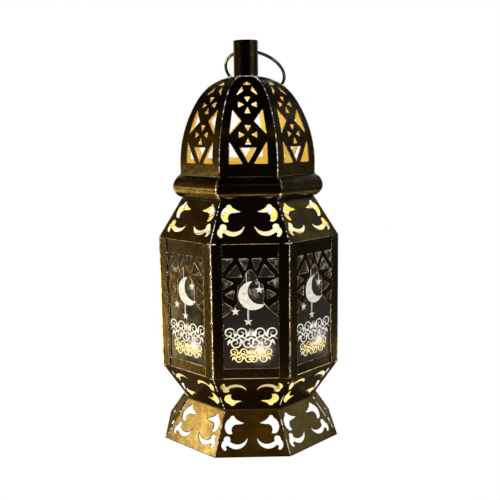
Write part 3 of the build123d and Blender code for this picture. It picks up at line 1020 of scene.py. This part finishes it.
class PieceTree:
    """Geometry tree that makes a piece from a source object, with named inputs and a finish."""

    def __init__(self, name: str, inputs: dict[str, str]) -> None:
        """Builds the tree once.

        Args:
            name: the tree's name.
            inputs: names of its own inputs, with their kinds.
        """
        self.tree = bpy.data.node_groups.new(name, "GeometryNodeTree")
        self.tree.is_modifier = True
        face = self.tree.interface
        face.new_socket("Geometry", in_out="INPUT", socket_type="NodeSocketGeometry")
        self.inputs: dict[str, str] = {}
        for label, kind in {"Copies": "Int", "Finish": "Material", **inputs}.items():
            socket = face.new_socket(label, in_out="INPUT", socket_type="NodeSocket" + kind)
            self.inputs[label] = socket.identifier
        face.new_socket("Geometry", in_out="OUTPUT", socket_type="NodeSocketGeometry")
        self.wiring = Wiring(self.tree)
        self.given = self.wiring.node("NodeGroupInput")
        real = self.wiring.node("GeometryNodeRealizeInstances", {0: self.shape()})[0]
        finish = {"Geometry": real, "Material": self.given["Finish"]}
        self.wiring.node("NodeGroupOutput", {0: self.wiring.node("GeometryNodeSetMaterial", finish)[0]})

    def shape(self) -> Socket:
        """Wires the piece's shape, up to its instances."""
        raise NotImplementedError

    def index(self) -> Socket:
        """Number of each copy, from 0."""
        return self.wiring.node("GeometryNodeInputIndex")[0]

    def round_axis(self, values: dict[str, Any], first_bearing: Any = 0.0) -> Socket:
        """Copies the source round the lantern's axis, a face apart.

        Args:
            values: further inputs of the copying node.
            first_bearing: where the first copy goes.

        Returns:
            The copies.
        """
        wiring, given = self.wiring, self.given
        middle = {"Count": given["Copies"], "Offset": (0.0, 0.0, 0.0)}
        points = wiring.node("GeometryNodeMeshLine", middle)["Mesh"]
        bearing = wiring.math("MULTIPLY_ADD", self.index(), FACE_STEP, first_bearing)
        turn = wiring.vector(0.0, 0.0, bearing)
        copies = {"Points": points, "Instance": given["Geometry"], "Rotation": turn, **values}
        return wiring.node("GeometryNodeInstanceOnPoints", copies)[0]

    def run(self, source: bpy.types.Object, name: str, values: dict[str, Any]) -> bpy.types.Object:
        """Runs the tree on a source object and keeps the result as a plain mesh.

        Args:
            source: the object that it runs on, which is removed.
            name: the result's name.
            values: the tree's inputs, by name.

        Returns:
            The finished piece.
        """
        modifier = source.modifiers.new(self.tree.name, "NODES")
        modifier.node_group = self.tree
        for label, value in values.items():
            modifier[self.inputs[label]] = value
        shaped = source.evaluated_get(bpy.context.evaluated_depsgraph_get())
        mesh = bpy.data.meshes.new_from_object(shaped)
        mesh.name = name
        piece = add_object(name, mesh)
        bpy.data.objects.remove(source)
        return piece


class RoundTheBody(PieceTree):
    """Tree that repeats a piece round the body."""

    def __init__(self) -> None:
        """Names the tree's inputs."""
        super().__init__("round_the_body", {"First bearing": "Float", "Left out": "Int"})

    def shape(self) -> Socket:
        """Wires the copies, but for the one left out.

        Returns:
            The copies.
        """
        numbers = {2: self.index(), 3: self.given["Left out"]}
        kept = self.wiring.node("FunctionNodeCompare", numbers, data_type="INT", operation="NOT_EQUAL")[0]
        return self.round_axis({"Selection": kept}, self.given["First bearing"])


class SolderTree(PieceTree):
    """Tree that lays uneven beads of solder along seams."""

    patch_scale: float = 110.0
    patch_octaves: float = 1.0
    patch_roughness: float = 0.5
    patch_middle: float = 0.5
    drop_segments: int = 8
    drop_rings: int = 5

    def __init__(self) -> None:
        """Names the tree's inputs."""
        sizes = {"Spacing": "Float", "Smallest": "Vector", "Largest": "Vector"}
        chances = {"Kept share": "Float", "Patchiness": "Float", "Seed": "Int"}
        super().__init__("solder_beads", sizes | chances)

    def shape(self) -> Socket:
        """Wires the beads: points along every seam, some left out, each with a drop of its own size.

        Returns:
            The drops.
        """
        wiring, given = self.wiring, self.given
        seams = wiring.node("GeometryNodeRealizeInstances", {0: self.round_axis({})})[0]
        curves = wiring.node("GeometryNodeMeshToCurve", {"Mesh": seams})[0]
        run = {"Curve": curves, "Length": given["Spacing"]}
        spots = wiring.node("GeometryNodeCurveToPoints", run, mode="LENGTH")
        sizes = {0: given["Smallest"], 1: given["Largest"], "Seed": given["Seed"]}
        size = wiring.node("FunctionNodeRandomValue", sizes, data_type="FLOAT_VECTOR")[0]
        chance = wiring.node("FunctionNodeRandomValue", {"Seed": given["Seed"]}, data_type="FLOAT")[1]
        place = wiring.node("GeometryNodeInputPosition")[0]
        noise = wiring.noise(place, self.patch_scale, self.patch_octaves, self.patch_roughness)
        patch = wiring.math("SUBTRACT", noise, self.patch_middle)
        share = wiring.math("MULTIPLY_ADD", patch, given["Patchiness"], given["Kept share"])
        ball = {"Segments": self.drop_segments, "Rings": self.drop_rings, "Radius": 1.0}
        round_drop = wiring.node("GeometryNodeMeshUVSphere", ball)["Mesh"]
        drops = {
            "Points": spots["Points"],
            "Selection": wiring.math("LESS_THAN", chance, share),
            "Instance": wiring.node("GeometryNodeSetShadeSmooth", {"Geometry": round_drop})[0],
            "Rotation": spots["Rotation"],
            "Scale": size,
        }
        return wiring.node("GeometryNodeInstanceOnPoints", drops)[0]

    def lay(self, lines: Sequence[Sequence[Vector]], name: str, values: dict[str, Any]) -> bpy.types.Object:
        """Lays beads along some lines.

        Args:
            lines: the seams, as rows of points.
            name: the result's name.
            values: the tree's inputs by name.

        Returns:
            The finished piece.
        """
        places: list[Vector] = []
        edges: list[tuple[int, int]] = []
        for line in lines:
            first = len(places)
            places += line
            edges += [(first + index, first + index + 1) for index in range(len(line) - 1)]
        mesh = bpy.data.meshes.new(name)
        mesh.from_pydata(places, edges, [])
        return self.run(add_object(name + "_seams", mesh), name, values)


class Frame:
    """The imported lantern: its nodes, the effects for their finishes, and sizes read from them."""

    level_band: float = 0.0004
    ridge_angle: float = radians(0.6)
    rungs_per_metre: int = 1000

    def __init__(self) -> None:
        """Loads the frame and keeps its box."""
        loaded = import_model()
        self.nodes: dict[str, bpy.types.Object] = loaded["nodes"]
        self.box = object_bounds()
        self.palette = Palette()

    def dress(self, names: Sequence[str], finish: Finish, title: str) -> None:
        """Gives some nodes a finish.

        Args:
            names: the nodes.
            finish: what they get.
            title: the material's name.
        """
        material = finish.material(self.palette, title)
        for name in names:
            mesh = self.nodes[name].data
            mesh.materials.clear()
            mesh.materials.append(material)
            LOG.info("%s is finished in %s", name, title)

    def numbered(self, stem: str) -> list[str]:
        """Names of the nodes that are numbered round the body."""
        return [name for name in sorted(self.nodes) if name.startswith(stem) and name[len(stem):].isdigit()]

    def reach(self, name: str, level: float) -> float:
        """Greatest distance of a node from the axis near a level."""
        places = (vertex.co for vertex in self.nodes[name].data.vertices)
        return max(hypot(place.x, place.y) for place in places if abs(place.z - level) < self.level_band)

    def at_ridge(self, reach: float, level: float) -> Vector:
        """Place on the ridge to the right of the front face."""
        return Vector((cos(RIDGE_BEARING), sin(RIDGE_BEARING), 0.0)) * reach + Vector((0.0, 0.0, level))

    def ridge(self, name: str, levels: Sequence[float]) -> list[Vector]:
        """Corner line of a band at some levels, on the ridge to the right of the front face."""
        return [self.at_ridge(self.reach(name, level), level) for level in levels]

    def gore_ridge(self) -> list[Vector]:
        """Edge line of the front gore.

        Returns:
            The line's points, from the foot to the crown.
        """
        way = self.at_ridge(1.0, 0.0).xy
        furthest: dict[int, float] = {}
        for vertex in self.nodes["dome_panel_1"].data.vertices:
            place = vertex.co
            if place.x > 0 and place.xy.normalized().dot(way) > cos(self.ridge_angle):
                rung = round(place.z * self.rungs_per_metre)
                furthest[rung] = max(furthest.get(rung, 0.0), hypot(place.x, place.y))
        return [self.at_ridge(furthest[rung], rung / self.rungs_per_metre) for rung in sorted(furthest)]


@dataclass
class Casing:
    """Sheet metal below the dome, and the tube: bands, posts, panels, hinge leaves and floor plate."""

    frame: Frame
    finish: SheetFinish
    fold_width: float = 0.0007
    # Glow of the painted highlight on the panels' rubbed edges.
    panel_edge_highlight: float = 0.26
    pale_inside: Colour = tint(0.95, 0.88, 0.62)
    white_inside: Colour = tint(0.98, 0.96, 0.90)
    body_deep: Colour = tint(0.026, 0.016, 0.005)
    body_bright: Colour = tint(0.112, 0.069, 0.015)
    body_coat: float = 0.02
    skirt_deep: Colour = tint(0.128, 0.080, 0.018)
    skirt_clouds: float = 60.0
    skirt_grain: float = 0.16
    dark_cut: Colour = tint(0.040, 0.026, 0.010)
    dull_edge: Colour = tint(0.090, 0.058, 0.016)
    thin_edge: float = 0.0002
    # Painted shade: the tube's lacquer is a darker copy of the body's.
    tube_shaded_deep: Colour = tint(0.012, 0.008, 0.003)
    tube_shaded_bright: Colour = tint(0.052, 0.033, 0.009)
    tray_roughness: float = 0.45
    tray_metallic: float = 0.3

    def lean(self, name: str) -> Tilt:
        """Tilt of a band's walls, from the slope of its corner line.

        Args:
            name: the band's node.

        Returns:
            The tilt.
        """
        low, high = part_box(name)
        foot, top = self.frame.reach(name, low.z), self.frame.reach(name, high.z)
        inset = (foot - top) * cos(FACE_STEP / 2)
        return Tilt(inset / hypot(inset, high.z - low.z))

    def dress(self) -> None:
        """Finishes each piece in its own tone, the tube in a darker copy as painted shade, and each sloping
        band for its own tilt.
        """
        frame, plain = self.frame, self.finish
        tones = {"deep": self.body_deep, "bright": self.body_bright, "inside": self.pale_inside}
        dark = replace(plain, coat=self.body_coat, **tones)
        joint = {"cut_edge": self.dark_cut, "rubbed": self.dull_edge, "edge_width": self.thin_edge}
        skirt = replace(plain, deep=self.skirt_deep, cloud_scale=self.skirt_clouds, grain=self.skirt_grain)
        bowl, shoulder = replace(dark, **joint), replace(plain, **joint)
        bands = {"base_skirt": skirt, "lower_bowl": bowl, "shoulder": shoulder}
        for name, finish in bands.items():
            frame.dress([name], replace(finish, tilt=self.lean(name)), name + "_lacquer")
        lit = replace(dark, inside=self.white_inside, rubbed=BRIGHT_EDGE)
        seam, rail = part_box("corner_post_1")[0].x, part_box("window_panel_1")[1].z
        # Panels: a painted highlight on their rubbed edges, and painted shade along their post seams and
        # towards their top rail.
        panel = replace(lit, painted_edge_highlight=self.panel_edge_highlight, shade_seam=seam, shade_level=rail)
        folded = replace(lit, cut_edge=self.dark_cut, fold_width=self.fold_width, edge_width=self.thin_edge)
        # The tube's darker tones are painted shade.
        tube = replace(plain, deep=self.tube_shaded_deep, bright=self.tube_shaded_bright, coat=self.body_coat)
        metal = {"roughness": self.tray_roughness, "metallic": self.tray_metallic}
        tray = MetalFinish(self.pale_inside, plain.inside, rim=self.dark_cut, **metal)
        frame.dress(["door_hinge_leaves", "post_hinge_leaves"], dark, "upright_lacquer")
        frame.dress(["crown_tube"], tube, "tube_shaded_lacquer")
        frame.dress(["floor_plate"], tray, "gold_tray")
        frame.dress(frame.numbered("window_panel_") + ["door_panel"], panel, "panel_lacquer")
        frame.dress(frame.numbered("corner_post_") + ["collar"], folded, "folded_lacquer")


@dataclass
class Dome:
    """Gores and carrying ring."""

    frame: Frame
    finish: SheetFinish
    band: float = 0.0065
    side_radius: float = 0.071
    crown_radius: float = 0.0296
    crown_drop: float = 0.0294
    gore_deep: Colour = tint(0.028, 0.017, 0.004)
    gore_bright: Colour = tint(0.118, 0.070, 0.011)
    gore_coat: float = 0.01
    # Glow of the painted highlight along the gores' rubbed edges and seams.
    gore_edge_highlight: float = 0.14
    wire: MetalFinish = MetalFinish(tint(0.46, 0.42, 0.34), tint(0.14, 0.115, 0.08), roughness=0.3)

    def dress(self) -> None:
        """Finishes the gores by their curve, and the ring and the latch's knob as dull wire."""
        low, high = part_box("dome_panel_1")
        tilt = DomeTilt(0.0, low.z + self.band, self.side_radius, high.z - self.crown_drop, self.crown_radius)
        tones = {"deep": self.gore_deep, "bright": self.gore_bright, "coat": self.gore_coat}
        gores = replace(self.finish, tilt=tilt, rubbed=BRIGHT_EDGE, painted_edge_highlight=self.gore_edge_highlight, **tones)
        self.frame.dress(self.frame.numbered("dome_panel_"), gores, "gore_lacquer")
        self.frame.dress(["carrying_ring", "latch_knob"], self.wire, "dull_wire")


@dataclass
class Windows:
    """Panes, their clips and their prints."""

    frame: Frame
    tree: RoundTheBody
    # Centre of the painted light on the panes, beside and above the flame's tip.
    flame_glow_across: float = 0.0052
    flame_glow_lift: float = 0.0072
    tin: MetalFinish = MetalFinish(tint(0.55, 0.52, 0.45), tint(0.30, 0.27, 0.22), roughness=0.32)
    white_ink: InkFinish = InkFinish(tint(0.90, 0.91, 0.91), tint(0.30, 0.27, 0.18), glow=0.54)
    gold_ink: InkFinish = InkFinish(tint(0.86, 0.70, 0.32), tint(0.95, 0.92, 0.80), glow=0.62)

    def dress(self) -> None:
        """Finishes the panes and the tinned pieces."""
        panes = self.frame.numbered("window_pane_") + ["door_pane"]
        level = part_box("tealight_flame")[1].z + self.flame_glow_lift
        self.frame.dress(panes, PaneFinish(self.flame_glow_across, level), "smoked_sheet")
        tinned = ["window_clips", "door_clips", "hinge_pins", "latch_tongue", "candle_tabs"]
        self.frame.dress(tinned, self.tin, "tinned_steel")

    def build(self) -> None:
        """Prints the fixed panes and the door's pane, one mesh for each body and ink."""
        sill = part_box("window_pane_1")[0].z
        fixed = PanePrint(-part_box("window_pane_1")[0].y, sill)
        door = PanePrint(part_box("door_pane")[1].y, sill)
        jobs = ((fixed, "lantern", FACES, 0.0, DOOR_FACE), (door, "door", 1, pi, NO_FACE))
        for ink, finish in ((Ink.WHITE, self.white_ink), (Ink.GOLD, self.gold_ink)):
            material = finish.material(self.frame.palette, f"{ink.value}_ink")
            for art, body, copies, bearing, left_out in jobs:
                source = art.plates(ink).object("print_source")
                values = {"Copies": copies, "First bearing": bearing, "Left out": left_out}
                piece = self.tree.run(source, f"{body}_{ink.value}_prints", values | {"Finish": material})
                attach(piece, body)
                LOG.info("%s rides on %s", piece.name, body)


@dataclass
class Solder:
    """Beads of solder along the seams, round the tube's foot and at the posts' ends, with a painted glint."""

    frame: Frame
    tree: SolderTree
    spacing: float = 0.0010
    thin: Place = (0.00012, 0.00012, 0.0003)
    thick: Place = (0.00034, 0.00034, 0.0011)
    patchiness: float = 2.2
    seam_share: float = 0.40
    seam_seed: int = 5
    joint_share: float = 0.55
    joint_seed: int = 9
    foot_gap: float = 0.0001
    foot_steps: int = 6
    corner_run: float = 0.0022
    seam_inset: float = 0.0014
    # The solder's glow is a painted glint.
    finish: MetalFinish = MetalFinish(
        tint(0.90, 0.89, 0.85), tint(0.60, 0.54, 0.42), roughness=0.3, metallic=0.45, glow=0.75
    )

    def tube_foot(self) -> list[Vector]:
        """Arc of one face's width round the foot of the crown tube.

        Returns:
            The arc's points.
        """
        radius = self.frame.reach("crown_tube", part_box("crown_tube")[1].z) + self.foot_gap
        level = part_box("dome_panel_1")[1].z
        turns = [FACE_STEP * index / self.foot_steps for index in range(self.foot_steps + 1)]
        return [Vector((radius * cos(turn), radius * sin(turn), level)) for turn in turns]

    def corner(self, name: str, level: float) -> list[Vector]:
        """Short line across a corner, from one face to the next.

        Args:
            name: the band's node.
            level: the height.

        Returns:
            The line's points.
        """
        middle = self.frame.ridge(name, (level,))[0]
        ends = []
        for side in (-1, 1):
            way = RIDGE_BEARING + side * (pi / 2 + FACE_STEP / 2)
            ends.append(middle + self.corner_run * Vector((cos(way), sin(way), 0.0)))
        return [ends[0], middle, ends[1]]

    def seams(self) -> list[list[Vector]]:
        """Seams to the right of the front face: the gore's edge, and the corners of the sloping bands.

        Returns:
            The seams, as rows of points.
        """
        lines = [self.frame.gore_ridge()]
        for name in ("base_skirt", "lower_bowl", "shoulder"):
            low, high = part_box(name)
            foot, top = self.frame.ridge(name, (low.z, high.z))
            inset = (top - foot).normalized() * self.seam_inset
            lines.append([foot + inset, top - inset])
        return lines

    def build(self) -> None:
        """Lays the beads: along the seams, round the tube's foot and at the posts' ends."""
        low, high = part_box("corner_post_1")
        joints = [self.tube_foot(), self.corner("lower_bowl", low.z), self.corner("shoulder", high.z)]
        sizes = {"Spacing": self.spacing, "Smallest": self.thin, "Largest": self.thick}
        finish = self.finish.material(self.frame.palette, "solder_painted_glint")
        shared = {**sizes, "Patchiness": self.patchiness, "Copies": FACES, "Finish": finish}
        jobs = (
            ("seam_solder", self.seams(), self.seam_share, self.seam_seed),
            ("joint_solder", joints, self.joint_share, self.joint_seed),
        )
        for name, lines, share, seed in jobs:
            piece = self.tree.lay(lines, name, {**shared, "Kept share": share, "Seed": seed})
            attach(piece, "lantern")
            LOG.info("%s rides on lantern", piece.name)


@dataclass
class Tealight:
    """Battery light between its tabs."""

    frame: Frame
    bright_spot: Point = (0.0028, 0.0500)
    led_roughness: float = 0.2
    led_glow: float = 4.0
    steel: MetalFinish = MetalFinish(tint(0.62, 0.62, 0.62), tint(0.45, 0.45, 0.45), roughness=0.25)

    def dress(self) -> None:
        """Finishes the light's own pieces."""
        finishes = {
            "tealight_shell": PlasticFinish(tint(0.66, 0.64, 0.58)),
            "battery_cover": PlasticFinish(tint(0.82, 0.80, 0.74)),
            "switch_slider": PlasticFinish(tint(0.03, 0.03, 0.03)),
            "tealight_flame": FlameFinish(self.bright_spot),
            "tealight_led": PlasticFinish(tint(1.0, 0.92, 0.86), self.led_roughness, self.led_glow),
            "tealight_board": PlasticFinish(tint(0.03, 0.16, 0.06)),
        }
        for name, finish in finishes.items():
            self.frame.dress([name], finish, name + "_plastic")
        self.frame.dress(["coin_cell"], self.steel, "cell_steel")


class Shape(Enum):
    """Outlines of the lights."""

    BOX = "RECTANGLE"
    DISC = "DISK"


@dataclass(frozen=True)
class Light:
    """A lit sheet that the camera doesn't see, with its power worked out from its radiance and area."""

    name: str
    radiance: float
    colour: Place

    def lamp(self, shape: Shape, width: float, height: float) -> bpy.types.Object:
        """Adds the light at the origin.

        Args:
            shape: its outline.
            width: how wide it is.
            height: how high it is.

        Returns:
            The light's object.
        """
        area = width * height * (pi / 4 if shape is Shape.DISC else 1.0)
        light = bpy.data.lights.new(self.name, "AREA")
        light.shape = shape.value
        light.size, light.size_y = width, height
        light.energy = self.radiance * pi * area
        light.color = self.colour
        lamp = add_object(self.name, light)
        lamp.visible_camera = False
        return lamp


@dataclass(frozen=True)
class Softbox(Light):
    """One soft light: a lit rectangle that faces the lantern."""

    place: Place
    aim: Place
    width: float
    height: float

    def build(self) -> None:
        """Adds the light, turned to what it lights."""
        lamp = self.lamp(Shape.BOX, self.width, self.height)
        way = Vector(self.aim) - Vector(self.place)
        lamp.rotation_euler = way.to_track_quat("-Z", "Y").to_euler()
        lamp.location = self.place


@dataclass(frozen=True)
class Glow(Light):
    """Warm light inside the lantern: a level disc on its axis that shines up or down."""

    level: float
    width: float
    upward: bool

    def build(self) -> None:
        """Adds the light."""
        lamp = self.lamp(Shape.DISC, self.width, self.width)
        lamp.location = (0.0, 0.0, self.level)
        lamp.rotation_euler = (pi if self.upward else 0.0, 0.0, 0.0)


LIGHTS = (
    Softbox("key", 4.6, (1.0, 0.88, 0.50), (-0.285, -0.014, 0.127), (-0.033, -0.033, 0.012), 0.16, 0.036),
    Softbox("hot_spot", 13.0, (1.0, 0.97, 0.86), (-0.272, -0.03, 0.116), (-0.026, -0.04, 0.008), 0.04, 0.024),
    Softbox("low_left", 6.6, (1.0, 0.76, 0.27), (-0.42, 0.15, -0.05), (0.0, 0.0, 0.08), 0.30, 0.16),
    Softbox("high_left", 0.06, (1.0, 0.66, 0.18), (-0.40, 0.0, 0.185), (0.0, 0.0, 0.17), 0.30, 0.05),
    Softbox("right", 0.42, (0.76, 0.95, 1.0), (0.262, -0.015, 0.112), (0.033, -0.033, 0.012), 0.16, 0.05),
    Softbox("shoulder_left", 0.2, (1.0, 0.72, 0.26), (-0.30, 0.10, 0.34), (0.0, 0.0, 0.14), 0.20, 0.12),
    Softbox("dome_left", 0.55, (1.0, 0.68, 0.16), (-0.34, -0.02, 0.225), (0.0, 0.0, 0.18), 0.25, 0.14),
    Softbox("dome_right", 0.28, (0.86, 0.92, 0.85), (0.36, -0.02, 0.205), (0.0, 0.0, 0.18), 0.25, 0.16),
    Softbox("low_right", 0.14, (1.0, 0.90, 0.6), (0.42, 0.0, -0.04), (0.0, 0.0, 0.08), 0.45, 0.16),
    Softbox("high_right", 0.5, (0.86, 0.94, 0.92), (0.30, 0.10, 0.34), (0.0, 0.0, 0.14), 0.20, 0.12),
    Softbox("crown_right", 3.4, (0.95, 0.95, 0.75), (0.34, -0.20, 0.25), (0.0, 0.0, 0.23), 0.25, 0.05),
    Softbox("crown_left", 0.8, (1.0, 0.75, 0.4), (-0.34, -0.20, 0.25), (0.0, 0.0, 0.23), 0.15, 0.05),
    Softbox("front_top", 0.44, (1.0, 0.66, 0.16), (0.0, -0.56, 0.49), (0.0, -0.05, 0.01), 0.50, 0.08),
    Softbox("floor_front", 3.4, (1.0, 0.78, 0.4), (0.0, -0.115, 0.003), (0.0, -0.115, 1.0), 0.12, 0.05),
    Softbox("floor_left", 2.2, (1.0, 0.78, 0.4), (-0.081, -0.081, 0.003), (-0.081, -0.081, 1.0), 0.06, 0.06),
    Softbox("floor_right", 1.7, (1.0, 0.82, 0.5), (0.19, 0.04, 0.003), (0.19, 0.04, 1.0), 0.10, 0.10),
    Softbox("left_strip", 36.0, (1.0, 0.93, 0.82), (-0.295, -0.40, -0.01), (0.0, 0.0, 0.08), 0.02, 0.26),
    Softbox("right_strip", 16.0, (1.0, 0.95, 0.88), (0.295, -0.40, -0.01), (0.0, 0.0, 0.08), 0.02, 0.26),
    Softbox("back_left", 1.2, (1.0, 0.76, 0.40), (-0.30, 0.45, 0.35), (0.0, 0.0, 0.09), 0.30, 0.40),
    Softbox("back_right", 1.0, (0.9, 0.95, 1.0), (0.30, 0.45, 0.35), (0.0, 0.0, 0.09), 0.30, 0.40),
    Glow("bowl_glow", 2.5, (1.0, 0.95, 0.78), 0.062, 0.084, False),
    Glow("shoulder_glow", 3.0, (1.0, 0.94, 0.80), 0.100, 0.086, True),
    Glow("dome_glow", 0.55, (1.0, 0.86, 0.54), 0.160, 0.050, True),
)


@dataclass
class Studio:
    """Pale floor, soft lights and the camera."""

    lens: float = 56.5
    sensor: float = 36.0
    nearest: float = 0.01
    distance: float = 0.496
    pitch: float = radians(9.49)
    turn: float = radians(0.86)
    roll: float = radians(0.79)
    target: Place = (-0.00117, 0.0, 0.11459)
    shift: float = 0.007
    floor_radius: float = 0.14
    floor_sides: int = 96
    floor_colour: Colour = tint(0.72, 0.58, 0.36)
    floor_roughness: float = 0.9
    room_colour: Colour = tint(1.0, 0.86, 0.66)
    room_strength: float = 0.007

    def camera(self) -> None:
        """Places the camera where the photograph was taken."""
        ahead = Vector((0.0, cos(self.pitch), -sin(self.pitch)))
        level = Vector((1.0, 0.0, 0.0))
        upright = level.cross(ahead)
        right = level * cos(self.roll) - upright * sin(self.roll)
        above = upright * cos(self.roll) + level * sin(self.roll)
        axes = Matrix((right, above, -ahead)).transposed().to_4x4()
        place = Vector(self.target) - ahead * self.distance
        data = bpy.data.cameras.new("camera")
        data.lens = self.lens
        data.sensor_width = self.sensor
        data.shift_x = self.shift
        data.clip_start = self.nearest
        camera = add_object("camera", data)
        camera.matrix_world = Matrix.Rotation(-self.turn, 4, "Z") @ Matrix.Translation(place) @ axes
        bpy.context.scene.camera = camera

    def floor(self, palette: Palette) -> None:
        """Adds the pale floor, bright enough to meet the backdrop without an edge.

        Args:
            palette: the shared effects.
        """
        turns = [2 * pi * index / self.floor_sides for index in range(self.floor_sides)]
        corners = [(self.floor_radius * cos(turn), self.floor_radius * sin(turn), 0.0) for turn in turns]
        mesh = bpy.data.meshes.new("floor")
        mesh.from_pydata(corners, [], [tuple(range(self.floor_sides))])
        floor = add_object("floor", mesh)
        surface = Surface(palette, "pale_floor")
        surface.set("Base Color", self.floor_colour)
        surface.set("Roughness", self.floor_roughness)
        surface.set("Specular IOR Level", 0.0)
        bright = surface.node("ShaderNodeEmission")[0]
        output = surface.tree.nodes["Material Output"].inputs["Surface"]
        surface.feed(output, surface.by_ray(surface.shader.outputs[0], bright))
        mesh.materials.append(surface.material)
        floor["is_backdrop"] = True

    def world(self) -> None:
        """Adds a white backdrop, and a dim warm room for the light that falls on the lantern."""
        world = bpy.data.worlds.new("studio")
        world.use_nodes = True
        world.node_tree.nodes.clear()
        bpy.context.scene.world = world
        wiring = Wiring(world.node_tree)
        dim = {"Color": self.room_colour, "Strength": self.room_strength}
        room = wiring.node("ShaderNodeBackground", dim)[0]
        backdrop = wiring.node("ShaderNodeBackground", {"Color": WHITE, "Strength": 1.0})[0]
        wiring.node("ShaderNodeOutputWorld", {"Surface": wiring.by_ray(room, backdrop)})

    def build(self, palette: Palette) -> None:
        """Sets the whole studio up: warm light on the left, cool on the right, and the glow inside.

        Args:
            palette: the shared effects.
        """
        bpy.context.scene.view_settings.view_transform = "Standard"
        self.camera()
        self.floor(palette)
        self.world()
        for light in LIGHTS:
            light.build()


def main() -> None:
    """Builds and dresses the lantern in order."""
    logging.basicConfig(level=logging.INFO, format="%(message)s")
    frame = Frame()
    finish = SheetFinish()
    Casing(frame, finish).dress()
    Dome(frame, finish).dress()
    windows = Windows(frame, RoundTheBody())
    windows.dress()
    windows.build()
    Solder(frame, SolderTree()).build()
    Tealight(frame).dress()
    Studio().build(frame.palette)


if __name__ == "__main__":
    main()
